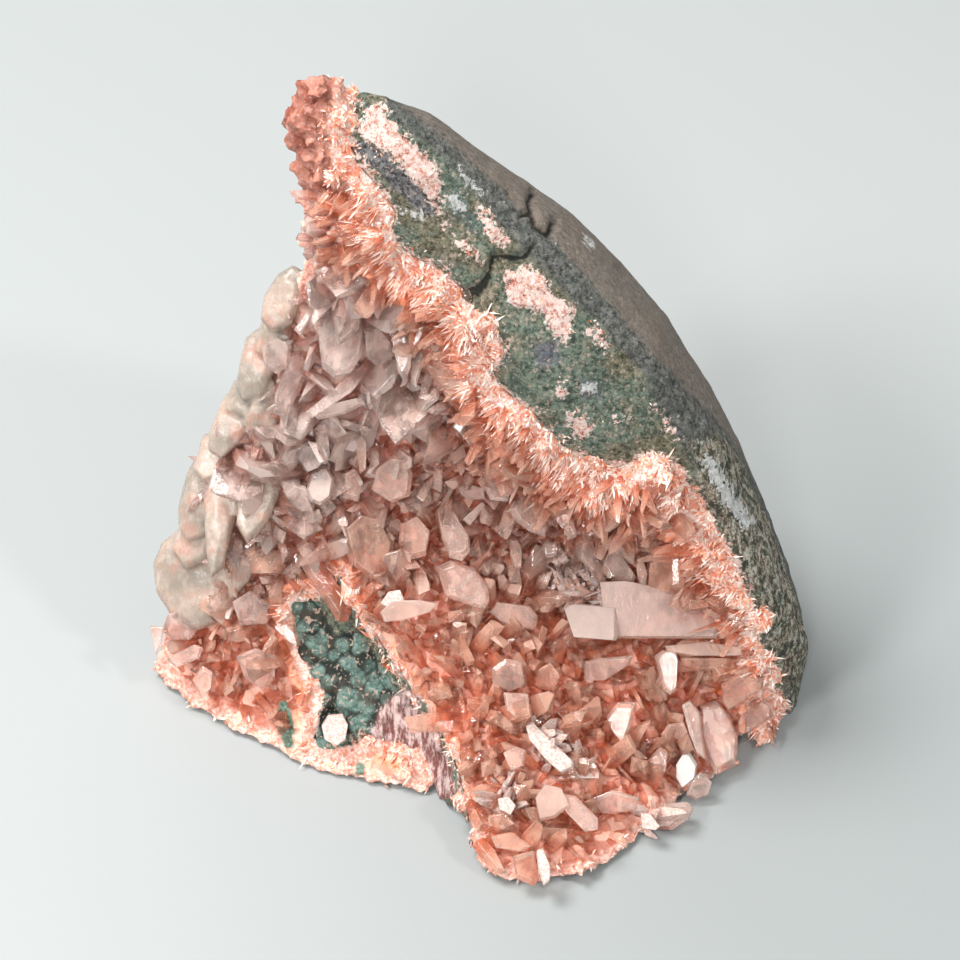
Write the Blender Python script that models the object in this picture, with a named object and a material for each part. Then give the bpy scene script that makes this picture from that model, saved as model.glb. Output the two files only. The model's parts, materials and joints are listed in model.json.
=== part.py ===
"""A hand specimen of apophyllite and stilbite crystals that line half of a hollow in basalt.

The specimen stands on a flat foot, with its crystal face leaning back. The shapes are drawn in
millimetres on a drawing plane that faces the viewer: u runs right, v runs up, and depth runs towards the
viewer. `place` carries a drawing point into the object's own frame, which has +Z up, its origin on the
foot, and the viewer on the -Y side.
"""

import math
import random

import bmesh
import bpy
import numpy as np
from mathutils import Vector, geometry, noise

MILLIMETRE = 0.001

# The drawing plane: how far it leans back, how far off the viewer stands, and where its centre lies.
LEAN = math.radians(40)
VIEWER_DISTANCE = 540.0
PLANE_CENTRE = Vector((0.69, 4.465, 42.0))
RIGHT = Vector((1, 0, 0))
UP = Vector((0, math.sin(LEAN), math.cos(LEAN)))
NEAR = Vector((0, -math.cos(LEAN), math.sin(LEAN)))

GAP = 0.3  # between pieces that grow on each other
CRUST_THICKNESS = 5.0
RECESS_GAP = 0.7  # behind the crust, along the line of sight, which leaves GAP on steep slopes
CRUST_FOOT = 0.4  # the crust ends this far above the floor, so that the rock carries the weight
BACK_RADIUS = 38.0
RIM_STEP = 3.8
ROCK_STEP = 6.0
BACK_STEP = 10.0
CRUST_STEP = 4.8
CRUST_REACH = 5.0  # how far the crust's recess runs out past the rock's edge
MIDDLE = np.array((-2.0, -6.0))
SMALL_CRYSTALS = 76
SLIVER_AREA = 0.02  # triangles smaller than this between points on one straight line are left out
FLAT_ENOUGH = math.radians(1.0)  # faces that turn less than this after a cut are merged
SEED = 14

# The skin's edge against the background, from the top tip round to the floor on the right.
SKIN_EDGE = [
    (-23.5, 60, 38), (-19.5, 58.7, 37), (-14.5, 57.5, 35), (-7.5, 55, 29), (-1.5, 50.7, 23),
    (6, 45.7, 17), (13.5, 40.3, 12), (21, 33, 7), (28, 24.5, 3), (34, 15.2, -1), (39, 6, -6),
    (43.5, -5.2, -11), (47.4, -16.5, -16), (49.4, -25.5, -21), (48.2, -31, -25),
]
# Where the front meets the floor, from right to left, with the notch between the two blocks.
RIGHT_FOOT = [
    (47, -36.3), (45.3, -40.3), (41.5, -44.5), (33, -49), (26.5, -55.7), (19, -61), (7.5, -63.5),
    (1.5, -62.7),
]
NOTCH_EDGE = [(-1, -57, 5), (-2.2, -51, 3.5)]
LEFT_FOOT = [
    (-3.5, -49.3), (-7.5, -49.4), (-14.5, -49), (-21, -47.6), (-28.5, -44.6), (-36, -41), (-43, -37),
    (-48, -33),
]
# The crystal side's edge, from the floor on the left up to the top tip.
CRYSTAL_EDGE = [
    (-50, -28.3, -28), (-48.5, -25, -24), (-46.5, -21, -20), (-45.5, -16, -16), (-43.5, -8.5, -12),
    (-41, 0, -7), (-37.5, 8, -2), (-33.5, 16, 3), (-31, 22.5, 8), (-29, 28.5, 13), (-27, 32.5, 17),
    (-27.5, 38, 22), (-26, 43.5, 27), (-28.3, 48, 31), (-28.6, 52.5, 34), (-28.3, 56, 36),
    (-26.3, 59, 37.5),
]
# The ridge where the broken face meets the skin, and the broken face.
RIDGE = [
    (-12, 55, 37), (-6, 50, 35), (0, 44.5, 33), (6, 38.5, 31), (12, 32.5, 29), (18, 25, 26),
    (24, 19, 23), (28.5, 10, 18.5), (33, 3, 14), (37, -6, 8), (41, -14, 2), (43.8, -22.5, -7),
    (45.8, -30.5, -18),
]
BROKEN_FACE = [
    (-12, 48, 36), (-4.5, 40, 32.5), (6, 27, 28.5), (12, 19.5, 26), (18, 12, 22), (22.5, 6, 18.5),
]
# The crust's orange rim, the foot of the slope inside it, and the floor of the hollow.
CRUST_RIM = [
    (-22.5, 54, 37), (-22.5, 43.5, 32), (-16.5, 36, 28.5), (-7.5, 28.5, 25.5), (-1.5, 19.5, 23),
    (3, 12, 20), (9, 6, 17), (18, 0, 13.5), (27, -1.5, 12.5), (34.5, -12, 5), (39, -21, -2),
]
HOLLOW_FOOT = [
    (-22.5, 33, 20), (-16.5, 25.5, 14), (-9, 16.5, 9.5), (-3, 7.5, 4.5), (4.5, 0, 0), (12, -5, -5),
    (19.5, -8.5, -7), (27, -10, -4), (33, -16.5, -4),
]
HOLLOW_FLOOR = [
    (-24, 22.5, 12), (-27, 9, 3), (-15, 7.5, 3), (-34.5, 4.5, -1), (-27, -6, -5), (-37.5, -6, -8),
    (-12, -6, -3), (-1.5, -7.5, -6.5), (10.5, -15, -9), (21, -21, -9), (33, -25.5, -10), (39, -30, -14),
]
LOWER_BULGE = [
    (0, -27, -4), (12, -30, -5), (24, -33, -8), (36, -37.5, -13), (6, -45, 1.5), (18, -45, -1),
    (27, -46.5, -5), (9, -55.5, 6), (18, -54, 3), (3, -55.5, 6.5),
]
# The crack between the two blocks: the right block's upper edge, the shelf's edge below it, the shelf.
BLOCK_EDGE = [
    (-20, -14, -6.5), (-16, -21, -4.5), (-11.5, -28.5, -2.5), (-7, -34.5, -0.5), (-3.5, -40, 1.5),
    (-2, -46.5, 3),
]
SHELF_EDGE = [
    (-22.5, -15.5, -10.5), (-19, -22.5, -11), (-14.5, -30, -10.5), (-10, -36.5, -9.5),
    (-6.5, -42.5, -8.5),
]
SHELF = [
    (-34.5, -12, -11.5), (-30, -21, -14), (-22.5, -25.5, -12.5), (-27, -33, -13), (-36, -30, -17),
    (-43.5, -25.5, -20.5), (-18, -39, -10),
]
# The crust's edge against bare rock, from above the top tip down past the floor on the right.
CRUST_EDGE = [
    (-17, 62), (-19.3, 55.5), (-20.3, 52), (-19, 48), (-15.5, 44), (-12.5, 40), (-13.5, 37),
    (-11, 34), (-6, 31.5), (-2.5, 28.5), (-2.3, 24.5), (2.3, 22.5), (3.8, 19.5), (0.8, 16.2),
    (4, 13), (8, 10), (11, 6.3), (14.5, 4), (17.3, 1.2), (22, 2.1), (26, 3.3), (29.5, 1.8),
    (33, -3.5), (36.5, -10), (40, -17), (41.7, -24), (43.6, -30.5), (46.5, -35.5), (53, -43),
]
# The bare rock inside the crust: the crack, and the pocket that holds the green lumps.
CRACK_AND_POCKET = [
    (1.0, -72), (-2.2, -47), (-4.2, -40.3), (-8, -34.5), (-12.5, -28), (-16.8, -21), (-20.3, -14),
    (-21.8, -13.2), (-22.8, -16.3), (-28.5, -18.3), (-27.8, -23), (-26, -29), (-23.5, -32.2),
    (-25.2, -35.5), (-24.4, -40.5), (-20, -41), (-17, -38), (-9.5, -40.5), (-6.8, -45.5), (-5.4, -72),
]
# Where small crystals grow: inside the smooth orange rim, and clear of the crack and the pocket.
DRUSE = [
    (-28, 41), (-22.5, 37), (-18.5, 30), (-11, 24), (-5, 18), (-2, 10), (4, 4.5), (12, -1), (20, -4.5),
    (28, -7), (34, -14), (38.5, -24), (43, -32), (44, -39), (33, -47), (26, -54), (19, -59), (8, -61),
    (2.5, -60), (0.5, -50), (-0.5, -40), (-4.5, -33), (-9, -27), (-14, -19), (-18, -12.5),
    (-26, -11.5), (-31, -18.5), (-32, -27), (-34, -36), (-42, -35), (-47.5, -31), (-48, -26),
    (-44, -16), (-42, -8), (-39.5, 0), (-36, 8), (-32, 16), (-29.5, 22), (-27.5, 28), (-26, 33),
]

# The large crystals that stand apart, each in a socket of the crust: root and tip on the drawing plane,
# how far the tip stands clear of the surface, width, thickness, and turn about its length in degrees.
LARGE_CRYSTALS = {
    "long_blade_crystal": ((34, -21.5), (11, -18.5), 7.5, 8.6, 4.2, 18),
    "mirror_prism_crystal": ((0.5, 8.5), (-3.8, 8.3), 4.5, 4.6, 3.4, 40),
    "pointed_prism_crystal": ((-5.2, -1), (-3, -11.8), 6.0, 4.0, 3.0, 10),
    "clear_prism_crystal": ((11.5, -25), (1.8, -20.6), 4.5, 4.4, 3.2, 25),
    "tabular_crystal": ((-8, -13.5), (-0.5, -17.6), 5.5, 5.6, 3.0, -15),
    "orange_block_crystal": ((-18, -5.5), (-14.8, -13.2), 5.5, 7.0, 5.0, 10),
    "gray_cube_crystal": ((-21, 2.5), (-25.5, 5.4), 5.5, 5.6, 4.8, 30),
    "facet_prism_crystal": ((-21.5, -4.6), (-24.4, -1.6), 6.0, 4.2, 3.4, 55),
    "upper_fan_blade_1": ((-12.5, 27.5), (-13.2, 16.5), 5.0, 3.4, 2.2, 30),
    "upper_fan_blade_2": ((-8.0, 25.2), (-8.8, 14.0), 5.5, 3.6, 2.2, 35),
    "upper_fan_blade_3": ((-3.6, 19.0), (-6.6, 11.0), 5.0, 3.2, 2.0, 40),
    "round_block_crystal": ((-21, 27), (-20, 18.3), 5.5, 7.4, 4.4, 5),
    "wedge_crystal": ((6.6, -2.2), (8.0, -9.4), 5.0, 5.4, 2.8, 8),
    "gray_plate_crystal": ((40.5, -36.5), (34.5, -42.2), 4.0, 7.0, 3.6, 15),
    "glint_crystal": ((30.4, -41.2), (30.2, -46.0), 4.5, 3.2, 2.6, 30),
    "streak_crystal": ((14.8, -43.6), (8.2, -37.4), 4.0, 3.0, 2.4, 45),
    "pocket_crystal": ((-21.6, -37.8), (-21.8, -34.8), 1.6, 3.4, 2.8, 20),
}
# The large crystals that have grown together with the crust, given in the same way.
GROWN_IN_CRYSTALS = [
    ((-7, -19.2), (-15.2, -20.2), 4.5, 2.8, 2.2, 30), ((-25.5, -5.2), (-30.2, -3.4), 4.0, 4.6, 3.6, 20),
    ((11.6, -2.0), (12.8, -8.6), 5.0, 2.4, 2.0, 25), ((15.4, -1.8), (16.6, -8.2), 5.5, 2.4, 1.8, 50),
    ((19.4, -3.6), (19.8, -9.9), 5.0, 3.0, 2.2, 10), ((23.6, -4.4), (25.0, -9.6), 5.0, 3.0, 2.2, 35),
    ((19.4, -15.6), (15.6, -11.6), 4.0, 4.0, 3.0, 20), ((26.5, -16.2), (22.4, -13.6), 3.5, 4.4, 3.0, 12),
    ((26.0, -30.0), (15.0, -28.6), 3.5, 3.0, 2.6, 20), ((31.0, -31.8), (31.4, -27.6), 3.5, 3.2, 2.4, 15),
    ((20.4, -33.4), (20.9, -39.4), 3.5, 5.0, 2.4, 5), ((41.4, -33.2), (36.0, -34.2), 3.5, 4.0, 2.8, 5),
    ((4.2, -47.6), (11.4, -49.4), 4.0, 4.2, 3.0, 15), ((23.5, -47.4), (16.2, -51.8), 3.5, 4.0, 3.0, 30),
    ((8.6, -53.8), (9.8, -58.6), 3.0, 2.8, 2.0, 20), ((-43.5, -25.5), (-48.3, -22.6), 3.0, 3.0, 2.4, 30),
    ((-33.5, -30.6), (-37.6, -26.8), 4.0, 4.2, 3.0, 20),
]
CRYSTAL_SINK = 1.6

# The cream blades along the left edge: centre, half length, half width, lean of the long side from
# upright in degrees, and how far the middle stands above the surface.
CREAM_BLADES = [
    ((-29.3, 26.6), 5.4, 3.8, 20, 0.4), ((-33.2, 17.4), 7.4, 3.6, 25, 0.2),
    ((-38.0, 8.6), 6.6, 4.0, 25, 0.6), ((-42.0, -1.0), 7.8, 3.6, 14, 0.2),
    ((-38.6, -1.6), 10.5, 3.2, 5, 1.2), ((-43.2, -14.2), 7.0, 5.6, -20, 0.4),
    ((-38.8, -13.4), 6.0, 3.6, 24, 1.4),
]
BLADE_HALF_THICKNESS = 2.0

# The green lumps in the pocket: centre on the drawing plane and radius.
GREEN_LUMPS = [
    ((-25.0, -21.6), 2.8), ((-23.8, -26.0), 2.8), ((-21.0, -22.8), 2.6), ((-20.4, -29.4), 2.9),
    ((-17.6, -26.0), 2.4), ((-16.0, -31.6), 2.5), ((-19.6, -33.4), 2.4), ((-23.2, -34.4), 2.0),
    ((-19.4, -37.6), 1.9),
]
LUMP_SINK = 0.8

# Each finish: its name, colour and roughness.
BASALT = ("basalt", (0.22, 0.19, 0.165), 0.8)
CRUST = ("crystal_crust", (0.80, 0.36, 0.24), 0.45)
CREAM = ("cream_stilbite", (0.80, 0.68, 0.56), 0.3)
CLEAR = ("clear_crystal", (0.86, 0.70, 0.65), 0.12)


def floor_depth(v):
    """The depth at which the line of sight through height v meets the floor."""
    return -(PLANE_CENTRE.z + UP.z * v) / (NEAR.z - UP.z * v / VIEWER_DISTANCE)


def place(u, v, depth):
    """The point of the object's frame, in metres, that is seen at (u, v) on the drawing plane."""
    shrink = 1 - depth / VIEWER_DISTANCE
    return (PLANE_CENTRE + (RIGHT * u + UP * v) * shrink + NEAR * depth) * MILLIMETRE


def resampled(line, step, closed=False):
    """Points along a line, at most a step apart, with the line's own corners among them."""
    line = [np.array(point, float) for point in line]
    ends = [*line[1:], line[0]] if closed else line[1:]
    points = []
    for start, end in zip(line, ends):
        count = math.ceil(np.linalg.norm((end - start)[:2]) / step)
        points += [start + (end - start) * k / count for k in range(count)]
    return np.array(points if closed else [*points, line[-1]])


def inside(places, polygon):
    """Which of the places lie inside a polygon, by counting the sides to their right."""
    polygon = np.array(polygon)[:, :2]
    u, v = np.atleast_2d(places).T
    crossings = np.zeros(len(u), int)
    for (u0, v0), (u1, v1) in zip(polygon, np.roll(polygon, -1, axis=0)):
        spans = (v0 > v) != (v1 > v)
        slope = (u1 - u0) / (v1 - v0) if v1 != v0 else 0.0
        crossings += spans & (u < u0 + (v - v0) * slope)
    return crossings % 2 == 1


def distance_to(places, line, closed=True):
    """The distance of each place from a line on the drawing plane."""
    line = np.array(line)[:, :2]
    places = np.atleast_2d(places)
    ends = np.roll(line, -1, axis=0) if closed else line[1:]
    nearest = np.full(len(places), np.inf)
    for start, end in zip(line, ends):
        side = end - start
        along = np.clip((places - start) @ side / max(side @ side, 1e-9), 0, 1)
        nearest = np.minimum(nearest, np.linalg.norm(places - start - along[:, None] * side, axis=1))
    return nearest


def shifted_right(line, distance, closed=False):
    """A line moved sideways, to the right of the way it runs."""
    line = np.array(line, float)
    if closed:
        steps = np.roll(line, -1, axis=0) - np.roll(line, 1, axis=0)
    else:
        steps = np.gradient(line, axis=0)
    right = np.column_stack([steps[:, 1], -steps[:, 0]])
    return line + right / np.linalg.norm(right, axis=1)[:, None] * distance


def scattered(polygon, step, margin, seed):
    """Uneven points about a step apart inside a polygon, and a margin away from its sides."""
    chance = random.Random(seed)
    corners = np.array(polygon)[:, :2]
    low, high = corners.min(axis=0), corners.max(axis=0)
    row_step = step * 0.87
    places = []
    for row in range(int((high[1] - low[1]) / row_step) + 1):
        for column in range(int((high[0] - low[0]) / step) + 1):
            u = low[0] + (column + row % 2 / 2 + chance.uniform(-0.28, 0.28)) * step
            v = low[1] + (row + chance.uniform(-0.28, 0.28)) * row_step
            places.append((u, v))
    places = np.array(places)
    return places[inside(places, corners) & (distance_to(places, corners) > margin)]


class Relief:
    """A smooth surface, depth over the drawing plane, through scattered (u, v, depth) points."""

    def __init__(self, points):
        points = np.array(points, float)
        self.places = points[:, :2]
        count = len(points)
        flat = np.column_stack([np.ones(count), self.places])
        system = np.zeros((count + 3, count + 3))
        system[:count, :count] = self.reach(self.places)
        system[:count, count:] = flat
        system[count:, :count] = flat.T
        self.weights = np.linalg.solve(system, np.append(points[:, 2], np.zeros(3)))

    def reach(self, places):
        return np.linalg.norm(places[:, None] - self.places[None], axis=2)

    def __call__(self, places):
        places = np.atleast_2d(np.array(places, float))
        flat = np.column_stack([np.ones(len(places)), places])
        return np.hstack([self.reach(places), flat]) @ self.weights

    def at(self, place_on_plane):
        return float(self(place_on_plane)[0])


def skin_shoulders():
    """Rows of points that round the skin over, from its edge to the ridge, as quarters of ellipses."""
    ridge = resampled(RIDGE, 1.0)
    rows = []
    for edge in resampled(SKIN_EDGE[2:], RIM_STEP):
        top = ridge[np.argmin(np.linalg.norm(ridge[:, :2] - edge[:2], axis=1))]
        for share in (0.12, 0.4, 0.72):
            point = edge + (top - edge) * share
            point[2] = edge[2] + (top[2] - edge[2]) * math.sqrt(1 - (1 - share) ** 2)
            rows.append(tuple(point))
    return rows


def outer_edge():
    """The specimen's whole edge as the viewer sees it, just under the floor wherever it stands on it."""
    right_foot = [(u, v, floor_depth(v + 1)) for u, v in RIGHT_FOOT]
    left_foot = [(u, v, floor_depth(v + 1)) for u, v in LEFT_FOOT]
    return [*SKIN_EDGE, *right_foot, *NOTCH_EDGE, *left_foot, *CRYSTAL_EDGE]


def rough(u, v, size, height):
    """Craggy unevenness up to about the given height, with bumps of the given size."""
    spot = Vector((u / size, v / size, height))
    return height * (noise.noise(spot) + 0.5 * noise.noise(spot * 2.1))


def triangulated(loops, lines, places):
    """Triangles between the points of closed loops, open lines and loose places, keeping to the lines."""
    corners, edges = [], []
    for points, closed in [(loop, True) for loop in loops] + [(line, False) for line in lines]:
        first, count = len(corners), len(points)
        corners += [Vector(point[:2]) for point in points]
        edges += [(first + k, first + (k + 1) % count) for k in range(count if closed else count - 1)]
    corners += [Vector(point) for point in places]
    made = geometry.delaunay_2d_cdt(corners, edges, [], 0, 1e-4, False)
    corners, triangles = (np.array([tuple(row) for row in rows]) for rows in (made[0], made[2]))
    first, second, third = (corners[triangles[:, k]] for k in range(3))
    one, other = second - first, third - first
    twice_area = np.abs(one[:, 0] * other[:, 1] - one[:, 1] * other[:, 0])
    return corners, triangles[twice_area > SLIVER_AREA]


def only_used(corners, triangles):
    """The corners that the triangles use, and the triangles renumbered for them."""
    used, renumbered = np.unique(triangles, return_inverse=True)
    return corners[used], renumbered.reshape(-1, 3)


def object_from(bm, name):
    """A new object holding the shape, with its faces turned outwards."""
    bmesh.ops.recalc_face_normals(bm, faces=bm.faces)
    mesh = bpy.data.meshes.new(name)
    bm.to_mesh(mesh)
    bm.free()
    obj = bpy.data.objects.new(name, mesh)
    bpy.context.scene.collection.objects.link(obj)
    return obj


def add_sheet(bm, corners, triangles, depths):
    """Adds a surface over the drawing plane, and returns its vertices."""
    verts = [bm.verts.new(place(u, v, depth)) for (u, v), depth in zip(corners, depths)]
    for triangle in triangles:
        bm.faces.new([verts[k] for k in triangle])
    return verts


def slab(name, corners, triangles, lower, upper):
    """A closed shape between two depths over the same triangles, with walls along the lines of sight."""
    bm = bmesh.new()
    under = add_sheet(bm, corners, triangles, lower)
    rim = [edge.verts[:] for edge in bm.edges if edge.is_boundary]
    above = dict(zip(under, add_sheet(bm, corners, triangles, upper)))
    for start, end in rim:
        bm.faces.new((start, end, above[end], above[start]))
    return object_from(bm, name)


def joined(objects, name):
    """One object holding the meshes of several, which stay separate bodies in it."""
    bm = bmesh.new()
    for obj in objects:
        bm.from_mesh(obj.data)
        bpy.data.objects.remove(obj)
    return object_from(bm, name)


def below_floor(height):
    """A block that reaches up to a height above the floor, in millimetres."""
    bm = bmesh.new()
    bmesh.ops.create_cube(bm, size=0.4)
    bmesh.ops.translate(bm, verts=bm.verts, vec=(0, 0, height * MILLIMETRE - 0.2))
    return object_from(bm, "below_floor")


def largest_body(mesh):
    """Takes away the loose crumbs that a cut leaves beside the largest body."""
    bm = bmesh.new()
    bm.from_mesh(mesh)
    bmesh.ops.remove_doubles(bm, verts=bm.verts, dist=0.002 * MILLIMETRE)
    unseen = set(bm.verts)
    bodies = []
    while unseen:
        body, front = set(), [next(iter(unseen))]
        while front:
            vert = front.pop()
            if vert not in body:
                body.add(vert)
                front += [edge.other_vert(vert) for edge in vert.link_edges]
        bodies.append(body)
        unseen -= body
    bodies.sort(key=len)
    for crumb in bodies[:-1]:
        bmesh.ops.delete(bm, geom=list(crumb), context="VERTS")
    bmesh.ops.dissolve_limit(bm, angle_limit=FLAT_ENOUGH, verts=bm.verts, edges=bm.edges)
    bmesh.ops.triangulate(bm, faces=bm.faces)
    bm.to_mesh(mesh)
    bm.free()


def combine(obj, other, operation):
    """Joins the object with another shape, or cuts it by that shape, which is then gone."""
    modifier = obj.modifiers.new("combine", "BOOLEAN")
    modifier.object = other
    modifier.operation = operation
    modifier.solver = "EXACT"
    modifier.use_self = True
    graph = bpy.context.evaluated_depsgraph_get()
    mesh = bpy.data.meshes.new_from_object(obj.evaluated_get(graph))
    obj.modifiers.clear()
    largest_body(mesh)
    obj.data = mesh
    bpy.data.objects.remove(other)


def basalt_body(edge, front):
    """The rock before the crust's recess: skin and broken face in front, a dome behind, a flat foot."""
    rim = resampled(edge, RIM_STEP, closed=True)
    ridge = resampled(RIDGE, 4.0)
    lines = [ridge, BLOCK_EDGE, SHELF_EDGE]
    shoulders = [row[:2] for row in skin_shoulders()]
    places = scattered(rim, ROCK_STEP, 1.6, SEED)
    places = places[distance_to(places, ridge, closed=False) > 2.5]
    corners, triangles = triangulated([rim], lines, [*places, *shoulders])
    triangles = triangles[inside(corners[triangles].mean(axis=1), rim)]
    corners, triangles = only_used(corners, triangles)
    unevenness = np.array([rough(u, v, 7.0, 0.5) for u, v in corners])
    depths = front(corners) + unevenness * (distance_to(corners, rim) > 0.5)

    just_inside = shifted_right(rim[:, :2], 1.2, closed=True)
    further_in = MIDDLE + (rim[::2, :2] - MIDDLE) * 0.88
    places = np.vstack([scattered(rim, BACK_STEP, 6.0, SEED + 1), just_inside, further_in])
    places = places[inside(places, rim) & (distance_to(places, rim) > 0.4)]
    back_corners, back_triangles = triangulated([rim], [], places)
    kept = inside(back_corners[back_triangles].mean(axis=1), rim)
    back_corners, back_triangles = only_used(back_corners, back_triangles[kept])
    rim_relief = Relief(np.column_stack([rim[:, :2], front(rim[:, :2])]))
    reach = np.minimum(distance_to(back_corners, rim), BACK_RADIUS)
    reach[reach < 0.01] = 0
    dome = np.sqrt(2 * BACK_RADIUS * reach - reach**2)
    unevenness = np.array([rough(u, v, 16.0, 2.4) for u, v in back_corners])
    back_depths = rim_relief(back_corners) - dome + unevenness * np.minimum(1, reach / 6)

    bm = bmesh.new()
    add_sheet(bm, corners, triangles, depths)
    add_sheet(bm, back_corners, back_triangles, back_depths)
    bmesh.ops.remove_doubles(bm, verts=bm.verts, dist=0.001 * MILLIMETRE)
    rock = object_from(bm, "basalt_matrix")
    combine(rock, below_floor(0.0), "DIFFERENCE")
    return rock


def crust_and_recess(edge, front):
    """The crystal crust without its crystals, and the cutter that clears its recess in the rock."""
    rim = resampled(edge, CRUST_STEP, closed=True)[:, :2]
    away = rim - MIDDLE
    outer = rim + away / np.linalg.norm(away, axis=1)[:, None] * CRUST_REACH
    contact = resampled(CRUST_EDGE, CRUST_STEP)
    rock_side = np.vstack([contact, [(100, -43), (100, 100), (-17, 100)]])
    bare = resampled(CRACK_AND_POCKET, CRUST_STEP, closed=True)
    places = scattered(outer, CRUST_STEP, CRUST_STEP / 2, SEED + 2)
    for line in (rim, rock_side, bare):
        places = places[distance_to(places, line) > CRUST_STEP / 2]
    corners, triangles = triangulated([outer, rim, bare], [contact], places)
    middles = corners[triangles].mean(axis=1)
    in_recess = inside(middles, outer) & ~inside(middles, rock_side) & ~inside(middles, bare)
    in_crust = in_recess & inside(middles, rim)

    recess_corners, recess_triangles = only_used(corners, triangles[in_recess])
    below = front(recess_corners) - CRUST_THICKNESS - RECESS_GAP
    recess = slab("recess", recess_corners, recess_triangles, below, below + 120)

    crust_corners, crust_triangles = only_used(corners, triangles[in_crust])
    shrunk = crust_corners.copy()
    for line, closed in ((contact, False), (bare, True)):
        moved = shifted_right(line, GAP, closed)
        for k, corner in enumerate(crust_corners):
            if distance_to(corner, line, closed)[0] < 0.01:
                nearest = np.argmin(np.linalg.norm(line - corner, axis=1))
                shrunk[k] = corner + moved[nearest] - line[nearest]
    depths = front(shrunk)
    unevenness = np.array([rough(u, v, 4.0, 1.0) for u, v in crust_corners])
    inner = distance_to(crust_corners, rim) > 0.5
    upper, lower = depths + unevenness * inner, depths - CRUST_THICKNESS
    crust = slab("crystal_crust", shrunk, crust_triangles, lower, upper)
    return crust, recess


def crystal(name, root, tip, side, width, thickness, outline, rings):
    """A crystal from root to tip: rings of an outline, each (share of the length, size, sideways skew).

    A last ring of no size is a point.
    """
    along = (tip - root).normalized()
    across = (side - side.dot(along) * along).normalized()
    through = along.cross(across)
    bm = bmesh.new()
    previous = None
    for share, size, skew in rings:
        middle = root + (tip - root) * share + across * width / 2 * skew
        ring = [
            bm.verts.new(middle + (across * width * a + through * thickness * b) * size / 2)
            for a, b in outline
        ]
        if previous is None:
            bm.faces.new(ring)
        else:
            for k in range(len(ring)):
                after = (k + 1) % len(ring)
                bm.faces.new((previous[k], previous[after], ring[after], ring[k]))
        previous = ring
    bm.faces.new(previous)
    bmesh.ops.remove_doubles(bm, verts=bm.verts, dist=0.01 * MILLIMETRE)
    bmesh.ops.triangulate(bm, faces=bm.faces)
    return object_from(bm, name)


def large_crystal(name, sizes, front, grow=0.0):
    """One of the large crystals, or the cutter for its socket if it grows."""
    root, tip, lift, width, thickness, turn = sizes
    root_depth = front.at(root) - CRYSTAL_SINK + thickness * 0.3
    tip_depth = max(front.at(tip), root_depth - 2.0) + lift * 0.8
    start, end = place(*root, root_depth), place(*tip, tip_depth)
    along = (end - start).normalized()
    level = along.cross(NEAR).normalized()
    facing = level.cross(along)
    side = level * math.cos(math.radians(turn)) + facing * math.sin(math.radians(turn))
    grow_along = along * grow * MILLIMETRE
    width, thickness = (size * MILLIMETRE + 2.6 * grow * MILLIMETRE for size in (width, thickness))
    outline = [(1, 0), (0.74, 1), (-0.74, 1), (-1, 0), (-0.74, -1), (0.74, -1)]
    rings = [(0, 0.75, 0), (0.25, 1, 0), (0.8, 0.96, 0), (1, 0.5, 0.16)]
    return crystal(name, start - grow_along, end + grow_along, side, width, thickness, outline, rings)


def small_crystals(front):
    """The small crystals of the crust, which lean every way and stay clear of the large ones."""
    chance = random.Random(SEED)
    places = list(scattered(DRUSE, 2.6, 1.6, SEED))
    chance.shuffle(places)
    taken = []
    for root, tip, *_ in [*LARGE_CRYSTALS.values(), *GROWN_IN_CRYSTALS]:
        taken += list(resampled([root, tip], 3.0))
    outline = [(1, 0.8), (-0.9, 1), (-1, -0.8), (0.9, -1)]
    rings = [(0, 0.85, 0), (0.78, 1, 0), (1, 0, 0.3)]
    made = []
    for spot in places:
        if len(made) == SMALL_CRYSTALS:
            break
        if min(np.linalg.norm(spot - other) for other in taken) < 3.1:
            continue
        taken.append(spot)
        length, lean = chance.uniform(4.2, 7.6), chance.uniform(0.2, 0.8)
        heading = chance.uniform(0, 2 * math.pi)
        tip = spot + length * lean * np.array((math.cos(heading), math.sin(heading)))
        if not inside(tip, DRUSE)[0]:
            tip = spot
        root_depth = front.at(spot) - 1.4
        tip_depth = root_depth + 1.4 + length * math.sqrt(1 - lean**2)
        side = Vector([chance.uniform(-1, 1) for _ in range(3)])
        width = chance.uniform(2.6, 4.4) * MILLIMETRE
        thickness = width * chance.uniform(0.45, 0.85)
        ends = place(*spot, root_depth), place(*tip, tip_depth)
        made.append(crystal("small_crystal", *ends, side, width, thickness, outline, rings))
    return made


def flattened_ball(name, centre, half_axes):
    """A faceted ball stretched along three directions, each as long as its half size."""
    bm = bmesh.new()
    bmesh.ops.create_icosphere(bm, subdivisions=2, radius=1.0)
    for vert in bm.verts:
        vert.co = centre + sum((part * axis for part, axis in zip(vert.co, half_axes)), Vector())
    return object_from(bm, name)


def cream_blades(front, grow=0.0):
    """The rounded cream blades, still overlapping."""
    made = []
    for (u, v), half_length, half_width, lean, lift in CREAM_BLADES:
        tilt = math.radians(lean)
        arm = half_length * np.array((math.sin(tilt), math.cos(tilt))) * 0.7
        upper, lower = (u, v) + arm, (u, v) - arm
        upper, lower = (place(*end, front.at(end) + lift) for end in (upper, lower))
        centre = (upper + lower) / 2
        long_side = (upper - lower).normalized()
        short_side = long_side.cross(NEAR).normalized()
        sizes = (half_length, half_width, BLADE_HALF_THICKNESS)
        axes = (long_side, short_side, short_side.cross(long_side))
        half_axes = [axis * (size + grow) * MILLIMETRE for axis, size in zip(axes, sizes)]
        made.append(flattened_ball("blade", centre, half_axes))
    return made


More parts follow.
